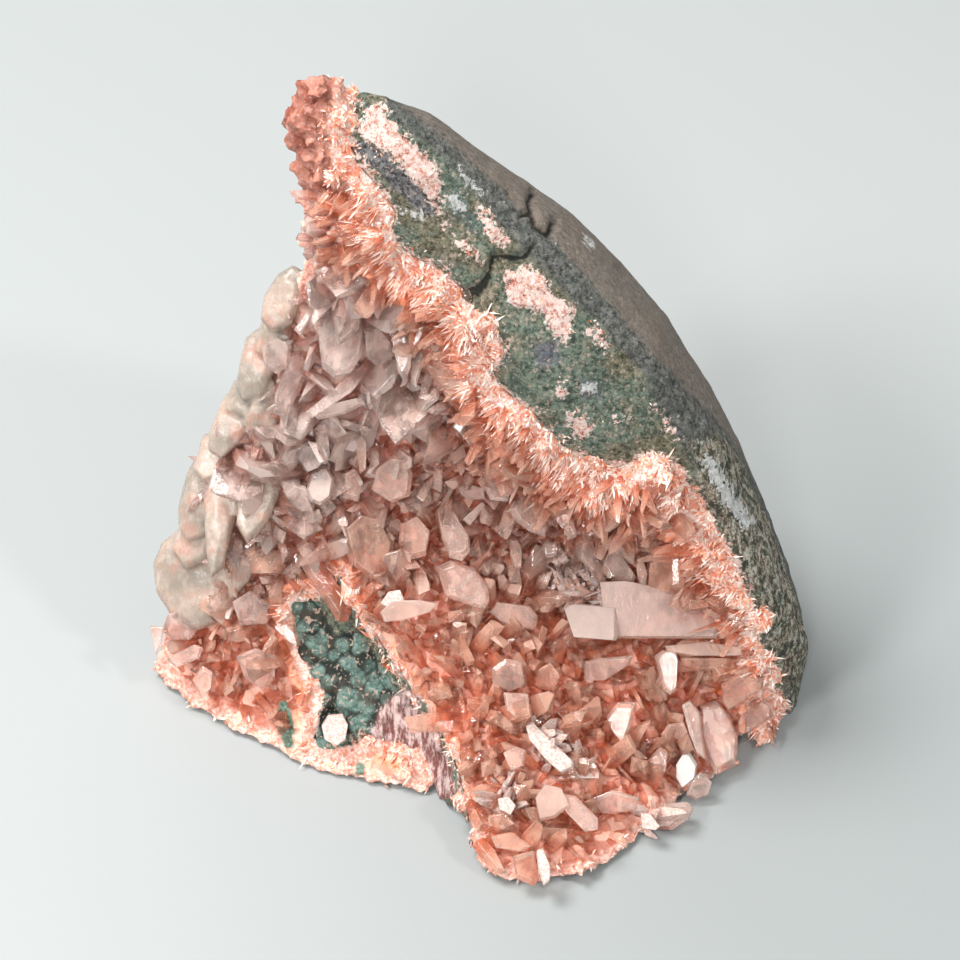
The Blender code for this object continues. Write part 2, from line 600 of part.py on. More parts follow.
def green_lumps(front, grow=0.0):
    """The green lumps of the pocket, which have grown together with the rock."""
    made = []
    for (u, v), radius in GREEN_LUMPS:
        size = (radius + grow) * MILLIMETRE
        centre = place(u, v, front.at((u, v)) - LUMP_SINK)
        made.append(flattened_ball("lump", centre, [RIGHT * size, UP * size, NEAR * size * 0.75]))
    return joined(made, "green_lumps")


def finish(obj, look):
    """Gives the object its material."""
    name, colour, roughness = look
    material = bpy.data.materials.get(name)
    if material is None:
        material = bpy.data.materials.new(name)
        material.use_nodes = True
        material.diffuse_color = (*colour, 1)
        shader = material.node_tree.nodes["Principled BSDF"]
        shader.inputs["Base Color"].default_value = (*colour, 1)
        shader.inputs["Roughness"].default_value = roughness
    obj.data.materials.clear()
    obj.data.materials.append(material)


def main():
    for obj in list(bpy.data.objects):
        bpy.data.objects.remove(obj)
    edge = resampled(outer_edge(), RIM_STEP, closed=True)
    lines = (RIDGE, BROKEN_FACE, CRUST_RIM, HOLLOW_FOOT, HOLLOW_FLOOR, LOWER_BULGE, BLOCK_EDGE, SHELF_EDGE)
    front = Relief([*edge, *skin_shoulders(), *sum(lines, []), *SHELF])

    rock = basalt_body(edge, front)
    crust, recess = crust_and_recess(edge, front)
    combine(rock, recess, "DIFFERENCE")
    grown_in = [large_crystal("grown_in_crystal", sizes, front) for sizes in GROWN_IN_CRYSTALS]
    combine(crust, joined(small_crystals(front) + grown_in, "crust_crystals"), "UNION")
    combine(crust, below_floor(CRUST_FOOT), "DIFFERENCE")

    combine(rock, green_lumps(front), "UNION")
    combine(crust, green_lumps(front, GAP), "DIFFERENCE")

    blades, *other_blades = cream_blades(front)
    combine(blades, joined(other_blades, "other_blades"), "UNION")
    blades.name = "cream_blades"
    for body in (rock, crust):
        combine(body, joined(cream_blades(front, GAP), "blade_sockets"), "DIFFERENCE")
    for body in (rock, crust, blades):
        sockets = [large_crystal(name, sizes, front, GAP) for name, sizes in LARGE_CRYSTALS.items()]
        combine(body, joined(sockets, "crystal_sockets"), "DIFFERENCE")
        body.data.name = body.name

    finish(rock, BASALT)
    finish(crust, CRUST)
    finish(blades, CREAM)
    for name, sizes in LARGE_CRYSTALS.items():
        finish(large_crystal(name, sizes, front), CLEAR)


main()
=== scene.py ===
"""The looks of an apophyllite and stilbite specimen: basalt skin, orange crust, druse and clear crystals.

Places on the specimen's face are given in millimetres on the drawing plane that the CAD model uses: u runs
right, v runs up, and depth runs towards the viewer. `place` carries them into the frame, in metres.
"""

import json
import math
import random

import bmesh
import bpy
import numpy as np
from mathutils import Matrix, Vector, noise
from mathutils.bvhtree import BVHTree
from mathutils.kdtree import KDTree

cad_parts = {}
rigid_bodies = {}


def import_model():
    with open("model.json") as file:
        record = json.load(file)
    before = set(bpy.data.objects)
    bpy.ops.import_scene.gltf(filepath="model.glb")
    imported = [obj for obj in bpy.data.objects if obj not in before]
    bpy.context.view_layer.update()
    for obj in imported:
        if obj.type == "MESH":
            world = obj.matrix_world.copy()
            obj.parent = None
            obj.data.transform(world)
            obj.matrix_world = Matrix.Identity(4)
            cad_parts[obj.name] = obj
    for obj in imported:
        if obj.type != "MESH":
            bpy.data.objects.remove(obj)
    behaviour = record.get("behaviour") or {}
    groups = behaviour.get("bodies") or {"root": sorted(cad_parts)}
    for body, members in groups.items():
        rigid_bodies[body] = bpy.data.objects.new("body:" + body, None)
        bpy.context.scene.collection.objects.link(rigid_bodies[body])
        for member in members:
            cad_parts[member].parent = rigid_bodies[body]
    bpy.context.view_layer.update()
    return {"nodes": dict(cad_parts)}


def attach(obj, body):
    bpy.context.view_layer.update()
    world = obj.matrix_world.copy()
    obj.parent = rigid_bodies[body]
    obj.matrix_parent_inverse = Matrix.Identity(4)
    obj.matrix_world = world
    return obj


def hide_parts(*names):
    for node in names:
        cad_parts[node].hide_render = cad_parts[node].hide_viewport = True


MM = 0.001

# The drawing plane, as in the CAD model: its lean, the viewer's distance from it, and its centre.
LEAN = math.radians(40)
VIEWER_DISTANCE = 540.0
PLANE_CENTRE = np.array((0.69, 4.465, 42.0))
RIGHT = np.array((1.0, 0.0, 0.0))
UP = np.array((0.0, math.sin(LEAN), math.cos(LEAN)))
NEAR = np.array((0.0, -math.cos(LEAN), math.sin(LEAN)))

# The crust, as in the CAD model.
CRUST_THICKNESS = 5.0
CRUST_BUMPS = 1.3  # what stands further than this above the crust's surface is a crystal
SOCKET_DEPTH = 0.8  # the crust is filled up to this far below its surface where a crystal is let into it

GRID_STEP = 0.6
ROCK_VOXEL = 0.62
CRUST_VOXEL = 0.55
BLADE_VOXEL = 0.35
FOOT = 0.4  # nothing that grows reaches lower than this

# Zones of the face, as outlines on the drawing plane.
SKIN_LINE = [
    (-16, 61), (-11, 55.5), (-4.5, 50.5), (3, 44), (8, 38.5), (11, 36.3), (14.5, 32), (18.5, 27.6),
    (22, 23.8), (25.6, 18.9), (29.4, 15.6), (33.5, 11), (36, 8), (41, 2), (44, -3),
]
BEVEL_LINE = [
    (-14, 55), (-9, 51), (-4, 47), (0, 42), (4.5, 36.5), (8, 33), (11, 30), (14.4, 26.5), (18, 23.8),
    (20.7, 20), (24.3, 16.3), (27, 10), (30, 5.5), (33, 0), (37, -8), (41, -16), (44, -26), (46, -33),
]
STREAKY_SKIN = [
    (31, 6), (36, 7.5), (41, 1.5), (46, -8), (51, -18), (54, -30), (48, -36), (43, -26), (38, -12),
    (33, -3),
]
SPARKLING_PATCHES = [
    [(-18, 56.5), (-14, 56.5), (-13, 54), (-10.4, 51), (-7.6, 48.6), (-5.8, 45.6), (-5.7, 42.6),
     (-5, 39.2), (-6.4, 39.6), (-7.6, 41.6), (-9.2, 44), (-11.6, 46.5), (-13.7, 49), (-17.5, 50.8),
     (-18.8, 52.4), (-17.5, 54.6)],
    [(-5.7, 39.2), (-4.2, 36.6), (-1.6, 35.4), (0.6, 32.7), (0.2, 32), (-3.4, 35.1), (-5.7, 37.6)],
    [(-0.9, 41.6), (0.6, 40.8), (3.3, 37.8), (4.5, 35.8), (3.3, 34.6), (0.9, 36.6), (0.2, 39.2)],
    [(3.1, 31), (6.9, 32.3), (9.9, 30.8), (11, 28), (14.1, 26.1), (14, 24.3), (14.1, 22), (12.9, 20.5),
     (10.5, 21.9), (9.5, 24.6), (6.9, 25.6), (4.2, 26.5), (3.7, 28)],
    [(15.6, 23.1), (17, 23.4), (19.7, 20.4), (19.4, 18.9), (17.4, 20), (15.9, 21.9)],
    [(11.2, 15.2), (12.9, 14.9), (13.4, 12.9), (12.4, 12.1), (11.4, 13.2)],
    [(13.2, 11.1), (15.9, 9.5), (17.1, 8), (15.9, 6.1), (14.1, 6.7), (12.9, 9.1)],
    [(19.3, 9.5), (22.6, 9.6), (22.6, 8.7), (19.5, 8.8)],
    [(26.2, 11.1), (27.3, 10.4), (29.6, 7.6), (30.1, 5.8), (29.2, 6), (27.6, 8.6), (26, 10.2)],
]
GREY_LENS = [
    (-20.8, 50.9), (-17.5, 50.9), (-14.1, 49), (-10.4, 45.3), (-6.6, 40.8), (-6.9, 39.1), (-9.2, 40.3),
    (-12.6, 43), (-15.3, 46.5), (-17.5, 47.5), (-19.4, 48.3),
]
WHITE_MARKS = [
    [(-11.9, 40.9), (-8.2, 39.7), (-8.6, 38.9), (-11.6, 40.1)],
    [(-4.9, 43), (-3.2, 43), (-2.3, 40.6), (-3, 39.8), (-4.6, 41)],
    [(-3.1, 46.6), (-0.6, 44.2), (0.2, 42.9), (-1.2, 43.2)],
    [(15.7, 36.6), (17.2, 35.6), (16.8, 34.6), (15.6, 35.4)],
    [(15.6, 14.7), (17.8, 14.4), (17.4, 13), (15.6, 13.4)],
    [(33, 3.6), (34.5, 4), (38.5, -1.5), (41, -6.5), (39.5, -7.5), (36, -2.5)],
]
TEAL_SPOTS = [
    [(-5.4, 44.6), (-2.9, 44.1), (0.3, 39.2), (0.9, 35.4), (-1.7, 36.6), (-4.6, 39.6)],
    [(4.1, 34.8), (6.9, 35.2), (7.3, 32.9), (3.8, 32)],
    [(1.5, 19), (5, 20.5), (6, 17.5), (3, 16)],
]
VIOLET_SPOTS = [
    [(7.6, 20.6), (11.6, 20.8), (12.2, 17.4), (8.4, 17)], [(14.8, 15.4), (18, 15), (18.4, 12.2), (15, 12.4)],
]
GREEN_POCKET = [
    (-28.5, -17.9), (-27, -17.2), (-25, -17.6), (-22.6, -21), (-21.8, -23.4), (-20.4, -22.8),
    (-17.8, -22.4), (-16.5, -25), (-15.2, -27.6), (-12.6, -30.2), (-11.2, -33), (-11, -35),
    (-12.3, -37.2), (-16.5, -39.6), (-17.5, -37), (-19.5, -38), (-21.8, -41.3), (-23.4, -41.6),
    (-24.6, -39.3), (-24.3, -36), (-22.7, -32.8), (-25, -31.5), (-26, -30.2), (-25.4, -28.2),
    (-27, -26.3), (-27.6, -22.4),
]
POCKET_SHELF = [
    (-14.5, -33.5), (-10.5, -31), (-6.5, -37), (-4.5, -43), (-3, -47.5), (-7, -48.5), (-14, -45),
    (-17, -39.5),
]
GREEN_SPOTS = [
    [(-30.4, -33.2), (-29.2, -33), (-28, -35.4), (-28, -40.2), (-29.6, -40.4), (-30.6, -37)],
    [(-18.8, -42.2), (-17.2, -42.6), (-17.2, -44.4), (-18.6, -44.4)],
    [(-9.4, -32.8), (-8, -33.4), (-8, -36.4), (-9.2, -36)],
]
SKIN_CRACKS = [
    [(8.4, 43.8), (7.6, 42), (8, 40.5), (6.5, 39.8)], [(8, 40.2), (8.5, 38.2), (10.5, 36.8), (11.2, 39)],
]
FACE_CRACK = [(8.2, 35.4), (6.6, 33.2), (2.2, 33.2), (0.8, 29.6), (-0.8, 28), (-2.4, 27.6), (-2.8, 25)]

# The cream blades along the left edge: the outline of the front face, how far it stands above the crust,
# and the rise of its depth for each millimetre to the right and up.
CREAM_BLADES = [
    ([(-32.6, 24.3), (-32.1, 27.8), (-30.3, 30.6), (-28.2, 31.8), (-26.7, 30.8), (-27, 27), (-28.2, 23.7),
      (-30.6, 22.5)], 1.2, (0.3, 0.1)),
    ([(-35.6, 17.7), (-35.1, 21), (-32.7, 22.8), (-30, 21.3), (-30.6, 17.3), (-32.7, 13.2), (-35.4, 12.3),
      (-36.3, 14.4)], 1.0, (0.35, -0.1)),
    ([(-40.2, 7.8), (-38.7, 11.7), (-36, 14.6), (-32.7, 15), (-32.7, 10.5), (-36, 6), (-38.7, 3.6),
      (-40.5, 4.8)], 1.2, (0.3, -0.2)),
    ([(-45, -4.2), (-44.1, 0.3), (-42.3, 3.6), (-40.2, 5.7), (-38.7, 3), (-39.3, -3), (-41.1, -7.5),
      (-43.8, -8.7), (-45, -6.8)], 0.8, (0.4, 0.0)),
    ([(-40.8, -9), (-41.1, -3), (-39.9, 3), (-37.8, 9), (-35.7, 10.2), (-34.8, 7.5), (-36, 1.5),
      (-36.9, -6), (-38.4, -12), (-40.2, -13.8)], 2.4, (-0.1, -0.1)),
    ([(-48, -16.5), (-48.5, -12.8), (-47.3, -9.9), (-45, -8.1), (-41.4, -8.4), (-37.2, -12), (-36, -16.5),
      (-38.7, -20.4), (-42.6, -21.9), (-46.2, -19.8)], 1.4, (0.15, 0.15)),
    ([(-36, 0), (-32.7, 6), (-30, 4.5), (-29.4, 0), (-31.8, -6), (-34.8, -9), (-36.3, -6)], 1.8, (0.1, -0.3)),
    ([(-37.5, -13), (-35, -8.4), (-32.4, -8), (-32.6, -11), (-34.6, -15), (-36.8, -17)], 1.6, (0.3, 0.2)),
    ([(-35.2, 8.6), (-33.4, 13.6), (-31, 14.6), (-29.6, 11), (-30.6, 6.4), (-33.4, 5)], 1.4, (-0.1, 0.2)),
    ([(-33.4, 19.4), (-32.8, 23.4), (-30.6, 25.4), (-28.2, 24.6), (-28.4, 20.8), (-31, 18)], 0.9, (0.2, 0.1)),
    ([(-38.2, 10.6), (-36.8, 14.6), (-34, 16.4), (-32, 14.6), (-33, 11.4), (-36, 9.4)], 0.9, (0.3, 0.0)),
    ([(-43, 2), (-41.4, 6.4), (-38.6, 7.8), (-37, 4.6), (-38.6, 1.4), (-41.4, 0)], 0.9, (0.2, -0.1)),
    ([(-46, -10.4), (-44.6, -5.8), (-41.6, -4.8), (-39.4, -8), (-40.6, -12), (-44, -13)], 1.3, (0.2, 0.1)),
]
BLADE_THICKNESS = 4.0

# Crystals placed one by one. Each has the outline of its front face, how far that face stands above the crust,
# its thickness, the rise of its depth for each millimetre to the right and up, its warmth and its frost.
GLINT = (0.28, -0.10)  # the rise that mirrors the left softbox to the viewer
# In both tables a frost near 1 paints a face white. On the GLINT facets, the streaks, the pocket crystal and the long
# blade's end face that white is painted glint and highlight; lower frost is the crystal's milky look.
LARGE_CRYSTALS = {
    "long_blade_crystal": [
        ([(18, -15.4), (22, -15.2), (35, -17.7), (36.2, -20), (35.6, -23.8), (28, -24.2), (19, -23.8)],
         4.2, 3.6, (-0.02, 0.1), 0.1, 0.82),
        ([(12.9, -19.2), (14.2, -18.5), (20.7, -19), (20.7, -23.3), (20.5, -24.1), (14.4, -23.6)],
         5.6, 3.4, (0.05, -0.3), 0.1, 0.98)],
    "mirror_prism_crystal": [
        ([(-4.2, 8), (-1.8, 11.4), (-0.9, 10.8), (-3.2, 7.1)], 5.6, 3.2, GLINT, 0.2, 1.0),
        ([(-3.2, 7.1), (-1, 10), (0.6, 8.4), (0.9, 6.4), (-1.5, 5.1)], 5.0, 3.4, (-0.5, 0.3), 0.3, 0.2)],
    "pointed_prism_crystal": [
        ([(-6.6, -4.8), (-5.1, -3), (-3.3, -5.7), (-1.5, -9), (-1.5, -10.8), (-2.7, -12.2), (-4.5, -11.7),
          (-5.7, -9)], 4.4, 2.8, (0.3, -0.3), 0.3, 0.3)],
    "clear_prism_crystal": [
        ([(1.4, -19.8), (2.6, -18.3), (5.3, -18.6), (7.5, -18.9), (8.7, -20.4), (8.4, -22.5), (6, -22.5),
          (3, -21.3)], 3.8, 2.6, (-0.1, 0.35), 0.2, 0.6)],
    "tabular_crystal": [
        ([(-6.5, -12.9), (-4.5, -12), (-0.8, -13.2), (1.2, -15.8), (1.5, -18), (0.8, -19.4), (-1.5, -18.9),
          (-5.3, -17.4)], 4.2, 2.4, (0.2, -0.25), 0.2, 0.45)],
    "orange_block_crystal": [
        ([(-20.3, -7.5), (-18, -5.3), (-15, -6), (-13.2, -9.8), (-13.8, -13.8), (-16.2, -15),
          (-18.9, -12.9)], 3.8, 4.2, (-0.3, 0.25), 0.7, 0.25)],
    "gray_cube_crystal": [
        ([(-27.9, 3.6), (-26.6, 5.4), (-24.3, 5.7), (-23.1, 3.3), (-24.3, 1.8), (-26, 1.1)],
         4.0, 4.0, (0.4, 0.1), 0.0, 0.3),
        ([(-25.8, 6), (-24.6, 5.6), (-22.8, 3), (-24, 2.7)], 4.6, 1.2, GLINT, 0.0, 0.93)],
    "facet_prism_crystal": [
        ([(-26.1, -1.5), (-25.2, 1.4), (-23.1, 2.3), (-21.9, 0.3), (-22.4, -2.7), (-24, -3.8),
          (-25.4, -3.3)], 4.4, 3.6, (0.2, -0.2), 0.0, 0.75)],
    "upper_fan_blade_1": [
        ([(-14.4, 27), (-12.3, 28.2), (-10.8, 26.3), (-9.9, 22.5), (-10.4, 16.8), (-11.3, 14.4),
          (-12.3, 16.2), (-12.8, 21)], 4.2, 2.6, (0.35, -0.1), 0.2, 0.35)],
    "upper_fan_blade_2": [
        ([(-9, 23.7), (-7.8, 22.5), (-8.4, 18), (-9.6, 13.8), (-10.4, 14.7), (-9.6, 19.5)],
         4.6, 2.2, (0.5, -0.1), 0.2, 0.45)],
    "upper_fan_blade_3": [
        ([(-7.2, 20.3), (-6, 19.5), (-6.6, 15.8), (-8.4, 11.3), (-9.3, 11.7), (-8.1, 16.5)],
         4.2, 2.0, (-0.3, -0.2), 0.3, 0.5)],
    "round_block_crystal": [
        ([(-24, 26), (-21, 26.7), (-17.7, 25.8), (-17.1, 22.5), (-17.7, 18.6), (-19.5, 15.9),
          (-21.9, 15.3), (-23.7, 16.8), (-24.2, 21)], 4.4, 3.8, (0.1, -0.2), 0.1, 0.4)],
    "wedge_crystal": [
        ([(4.2, -4.5), (5.1, -3), (7.5, -2.7), (10.7, -4.7), (9.8, -8.6), (7.5, -7.8), (5.4, -6.3)],
         4.0, 2.2, (-0.2, -0.2), 0.1, 0.5)],
    "gray_plate_crystal": [
        ([(33, -33.8), (35.4, -33), (37.5, -35.4), (38.7, -39), (38.4, -42.8), (35.4, -44.3),
          (34.2, -42), (33, -38.3)], 3.6, 3.0, (-0.2, -0.2), 0.3, 0.3)],
    # Its frost of 1.0 paints it white: a painted glint, over a face turned to mirror the left softbox.
    "glint_crystal": [
        ([(29.6, -42.3), (30.6, -40.8), (31.5, -40.8), (32.6, -42.6), (32.4, -44.4), (31.5, -45),
          (30.6, -45.9), (29.6, -44.4)], 4.0, 2.4, GLINT, 0.2, 1.0)],
    "streak_crystal": [
        ([(6.9, -36.9), (8.1, -36.5), (10.8, -39.3), (14.1, -42.3), (14.1, -43.2), (12.3, -44.1),
          (10.2, -42.3), (7.5, -39)], 3.4, 2.2, (0.2, -0.2), 0.2, 1.05)],
    "pocket_crystal": [
        ([(-23.8, -36.8), (-22.8, -35.2), (-20.6, -35), (-19.8, -36.6), (-20.2, -38.8), (-21.6, -39.8),
          (-23.4, -38.8)], 1.4, 2.4, GLINT, 0.0, 0.93)],
}
SMALLER_CRYSTALS = [
    # Upper left: mauve and grey plates.
    ([(-17.4, 22.5), (-15.3, 23.7), (-13.2, 21), (-12.9, 18.6), (-15.3, 17.1), (-17.1, 18.6)],
     3.6, 3.0, (-0.3, 0.2), 0.25, 0.25),
    ([(-16.8, 16.2), (-13.5, 17.1), (-11.4, 14.4), (-9.3, 11.3), (-10.2, 7.2), (-12.6, 5.1), (-15, 8.3),
      (-16.5, 12)], 3.6, 3.0, (0.2, -0.3), 0.2, 0.35),
    ([(-26.1, 10.2), (-24.3, 12), (-20.3, 14.4), (-17.3, 17.7), (-16.5, 16.5), (-19.2, 13.2),
      (-22.5, 11.4), (-25.2, 9.3)], 4.0, 2.0, (0.1, -0.3), 0.1, 0.7),
    ([(-25.5, 9.9), (-21.8, 11.4), (-17.7, 12.3), (-17.1, 11.4), (-20.3, 9.9), (-24.3, 9)],
     4.4, 1.8, (0.0, 0.4), 0.1, 0.7),
    ([(-30.8, 12.8), (-28.2, 19.2), (-26.3, 19.5), (-25.2, 17.7), (-27, 13.2), (-29.3, 9.3),
      (-30.9, 9.9)], 3.2, 2.4, (-0.2, 0.1), 0.15, 0.3),
    ([(-32.7, 19.8), (-30.3, 21.3), (-28.2, 20.3), (-28.5, 17.1), (-30.6, 15.9), (-32.4, 17.1)],
     3.0, 2.4, (0.2, 0.2), 0.1, 0.3),
    ([(-27.9, 22.5), (-25.8, 25.2), (-25.1, 24.6), (-27, 21.6)], 3.4, 1.2, (0.3, 0.0), 0.1, 0.5),
    ([(-27.5, 9), (-25.5, 9.3), (-25.1, 7.5), (-26.4, 6.2), (-27.5, 7.2)], 3.8, 1.8, (-0.1, 0.1), 0.0, 0.1),
    ([(-29.6, -1.5), (-28.2, -0.3), (-26.1, -0.9), (-25.4, -3.3), (-24.9, -4.8), (-26.7, -4.7),
      (-28.7, -3.3)], 3.6, 2.4, (0.3, 0.3), 0.1, 0.25),
    ([(-16.2, -1.5), (-15.3, 1.8), (-13.2, 3.6), (-10.8, 3.3), (-10.1, 0.9), (-10.5, -2.4),
      (-13.2, -3.5)], 3.8, 3.2, (0.2, 0.2), 0.35, 0.6),
    ([(-18.3, 6.5), (-17.6, 6.9), (-17, 5.3), (-17.1, 1.5), (-18, 0.9), (-18.5, 3.8)],
     3.2, 1.6, (0.4, 0.0), 0.4, 0.4),
    ([(-20.7, 0.9), (-18.9, 1.8), (-17.4, -0.6), (-18.3, -3.3), (-20.7, -2.7)], 2.8, 2.4, (0.3, 0.3), 0.4, 0.3),
    # The middle, below the mirror prism.
    ([(-8.9, 10.2), (-4.5, 12.3), (-2.1, 13.1), (-1.8, 12.3), (-6, 9.9), (-8.4, 8.9)],
     4.2, 1.6, (0.1, -0.4), 0.6, 0.3),
    ([(-1.2, 4.8), (0.9, 5.1), (2.9, 1.5), (2.3, -1.2), (0.6, -0.9), (-0.6, 2.1)], 3.4, 2.0, (-0.5, 0.2), 0.3, 0.1),
    ([(-3.3, -0.9), (-1.5, -0.6), (0.6, -1.2), (0.8, -2.9), (-1.5, -3), (-3, -2.1)],
     3.6, 1.4, (0.0, -0.4), 0.05, 0.6),
    ([(0.6, -1.2), (3, -0.6), (4.5, -2.1), (4.2, -3.3), (1.5, -3)], 3.8, 1.4, (0.2, -0.3), 0.05, 0.6),
    ([(12.5, -3.3), (14.1, -3.9), (15.9, -5.7), (14, -8.3)], 3.8, 1.4, (0.3, -0.3), 0.3, 0.8),
    ([(15.9, -3.6), (16.8, -3.3), (17.4, -5.7), (16.5, -6.3)], 4.2, 1.2, GLINT, 0.2, 0.93),
    ([(18, -3.8), (19.8, -3.3), (22.5, -3.9), (21.9, -6), (19.5, -7.8), (17.7, -8.1)],
     4.0, 1.8, (0.1, -0.4), 0.4, 0.7),
    ([(23, -5.7), (24, -4.8), (25.5, -6.3), (25.2, -8.7), (24, -9), (23.1, -7.5)], 3.8, 1.4, (-0.2, -0.2), 0.4, 0.6),
    ([(9, -10.1), (10.1, -8.9), (11.6, -9.5), (11.6, -11.3), (9.9, -11.7)], 3.0, 2.0, (0.1, 0.1), 0.1, 0.1),
    ([(-2.7, -6), (0.3, -3.2), (0.9, -3.8), (-1.5, -6.9)], 3.4, 1.0, (-0.2, 0.3), 0.1, 0.6),
    ([(4.4, -9), (5.6, -8.6), (6.3, -10.5), (6.2, -13.2), (5.1, -13.5), (4.5, -11.3)],
     3.6, 1.8, (0.5, -0.2), 0.3, 0.4),
    ([(-15, -19.8), (-13.2, -18), (-9, -18), (-6.3, -18.5), (-7.5, -19.8), (-11.4, -21), (-14.4, -21.3)],
     3.8, 2.0, (0.1, 0.3), 0.2, 0.8),
    ([(-15, -18.6), (-13.8, -16.8), (-12, -16.5), (-11.4, -18), (-13.2, -19.5)], 4.2, 1.2, GLINT, 0.1, 0.93),
    ([(-12, -6.6), (-9.6, -5.4), (-7.5, -7.8), (-8.1, -11.4), (-10.5, -12), (-12.3, -9.6)],
     3.0, 2.8, (0.3, 0.3), 0.4, 0.35),
    # The right, around the long blade.
    ([(14.9, -10.4), (15.9, -9.8), (16.8, -10.4), (18, -12.9), (18.9, -14.6), (18, -15), (16.5, -13.8),
      (15, -12)], 3.6, 1.6, (-0.3, 0.2), 0.2, 0.3),
    ([(18.9, -11.4), (19.8, -11), (21.3, -11.4), (23.4, -14.4), (23.1, -15.6), (20.3, -15), (18.5, -12.9)],
     4.0, 2.0, (0.2, 0.3), 0.2, 0.5),
    ([(18.6, -9.8), (20.1, -8.3), (21.6, -8), (23.4, -10.8), (23.1, -12.9), (19.8, -11)],
     3.2, 2.0, (-0.2, 0.2), 0.35, 0.2),
    ([(23.7, -11.4), (24.5, -11.4), (25.2, -14.1), (24.8, -16.5), (24, -16.2), (23.4, -13.5)],
     3.4, 1.4, (0.4, 0.0), 0.4, 0.5),
    ([(25.5, -12.3), (27, -11.4), (29.7, -11.4), (31.5, -12.3), (31.5, -16.5), (28.2, -17.1),
      (25.2, -15.9)], 3.2, 2.6, (-0.1, 0.3), 0.95, 0.15),
    ([(21.9, -9.3), (23.1, -8.1), (28.5, -7.8), (28.8, -10.2), (26.2, -11.3), (23, -10.4)],
     3.4, 2.6, (0.1, -0.3), 0.9, 0.2),
    ([(29, -4.6), (30, -4.2), (30, -15.6), (28.9, -15.9), (28.6, -9)], 3.8, 1.2, (0.3, -0.1), 0.8, 0.3),
    ([(27.6, -24.9), (33, -24.3), (38.6, -25.2), (38.6, -26.4), (31.5, -26.4), (28.2, -25.8)],
     3.6, 1.6, (0.0, -0.2), 0.3, 0.8),
    ([(30, -26.6), (38.3, -26.7), (38.1, -28.2), (33, -28.7), (30, -27.9)], 3.2, 1.8, (0.0, 0.2), 0.85, 0.2),
    ([(26.1, -26.4), (27.3, -25.5), (29.3, -25.5), (29.7, -27), (29.4, -31.5), (28.5, -32.3),
      (27.5, -31.5)], 4.0, 2.0, (0.35, -0.1), 0.2, 0.55),
    ([(15.3, -27.3), (18, -26.7), (20.4, -27.6), (23.1, -26.3), (22.5, -27.6), (18.8, -30), (15.8, -30)],
     3.2, 1.8, (0.0, 0.3), 0.2, 0.5),
    ([(36.3, -31.2), (37.2, -29.1), (39.3, -28.8), (42.3, -29.7), (42, -31.5), (39.6, -33.3),
      (37.2, -34.8), (36.3, -33.3)], 3.2, 2.6, (0.1, 0.2), 0.55, 0.6),
    ([(38.7, -36.3), (39.8, -33.8), (42, -32.6), (43.8, -33.6), (44.1, -35.4), (41.7, -36.3),
      (40.2, -38), (39, -37.5)], 2.6, 2.6, (-0.1, -0.3), 0.25, 0.45),
    ([(30.3, -33.6), (31.5, -33), (33, -34.8), (33.6, -39), (33.9, -42), (32.7, -41.3), (31.5, -38.3)],
     4.2, 1.6, (-0.3, -0.1), 0.2, 0.6),
    ([(27, -38.3), (28.2, -36.6), (30.6, -36.3), (31.2, -37.8), (30, -39)], 3.0, 1.8, (0.1, 0.2), 0.4, 0.4),
    ([(25.2, -42), (27, -39.9), (28.2, -40.8), (27.9, -43.8), (25.8, -43.5)], 3.0, 1.8, (0.2, -0.2), 0.3, 0.4),
    ([(31.5, -45.3), (33, -43.8), (34.8, -45.3), (34.2, -47.3), (32.4, -48), (30.9, -47.3)],
     2.6, 1.8, (-0.2, 0.3), 0.05, 0.4),
    ([(25.2, -49.8), (27.6, -48.5), (31.2, -48.3), (32.1, -49.2), (31.5, -50.7), (28.8, -52.5),
      (27, -52.5)], 2.4, 2.4, (0.0, 0.3), 0.2, 0.65),
    ([(24, -49.8), (25.5, -50), (27, -51.9), (26.3, -52.5), (24.3, -52.2)], 2.8, 1.6, (0.2, -0.2), 0.2, 1.05),
    # The lower middle.
    ([(1.8, -28.2), (3.8, -26.7), (6.3, -27.3), (6.9, -30.6), (4.2, -31.8), (1.8, -30.3)],
     3.6, 2.6, (-0.2, 0.2), 0.25, 0.45),
    ([(3.5, -31.8), (7.2, -32), (7.5, -34.2), (5.3, -35.7), (3.9, -34.5)], 3.2, 2.0, (0.0, -0.2), 0.15, 0.4),
    ([(8.4, -28.5), (10.5, -27.3), (12, -29.4), (11.1, -31.8), (8.7, -31.2)], 3.0, 2.4, (0.2, 0.2), 0.75, 0.3),
    ([(3.5, -40.8), (5.4, -39.9), (6.9, -40.5), (6.6, -42.9), (4.8, -43.7)], 3.4, 2.2, (-0.2, -0.2), 0.3, 0.6),
    ([(18.9, -35.4), (20.7, -33.3), (23.4, -33.3), (22.5, -37.2), (21.6, -39.6), (19.8, -37.5)],
     3.4, 2.0, (0.3, -0.2), 0.3, 0.45),
    ([(2.6, -47.8), (4.2, -47.5), (5.3, -48.9), (4.5, -50.3), (2.9, -49.5)], 3.2, 1.4, (0.2, -0.2), 0.2, 1.05),
    ([(8.3, -48), (9.8, -45.9), (12.3, -46.5), (13.5, -48.9), (11.3, -50.7), (9, -51.3)],
     3.6, 2.2, (0.15, -0.2), 0.3, 0.8),
    ([(11.4, -46.8), (14.3, -47.4), (17.7, -50.7), (17.7, -52.5), (15.8, -52.8), (12.9, -49.8)],
     4.0, 2.0, (0.1, -0.3), 0.15, 0.7),
    ([(16.8, -47.7), (19.8, -46.5), (24, -47.6), (23.4, -49.5), (18.6, -50.3)], 3.0, 2.2, (0.0, 0.3), 0.2, 0.35),
    ([(8.4, -55.8), (9.3, -55.5), (10.4, -58.2), (10.4, -60.3), (9.5, -60.9), (8.7, -58.5)],
     3.0, 1.4, (0.2, -0.2), 0.3, 1.05),
    ([(4.8, -56.4), (8.1, -55.5), (8.9, -60), (8.1, -61), (5.4, -59.8)], 2.6, 2.4, (-0.2, 0.2), 0.85, 0.3),
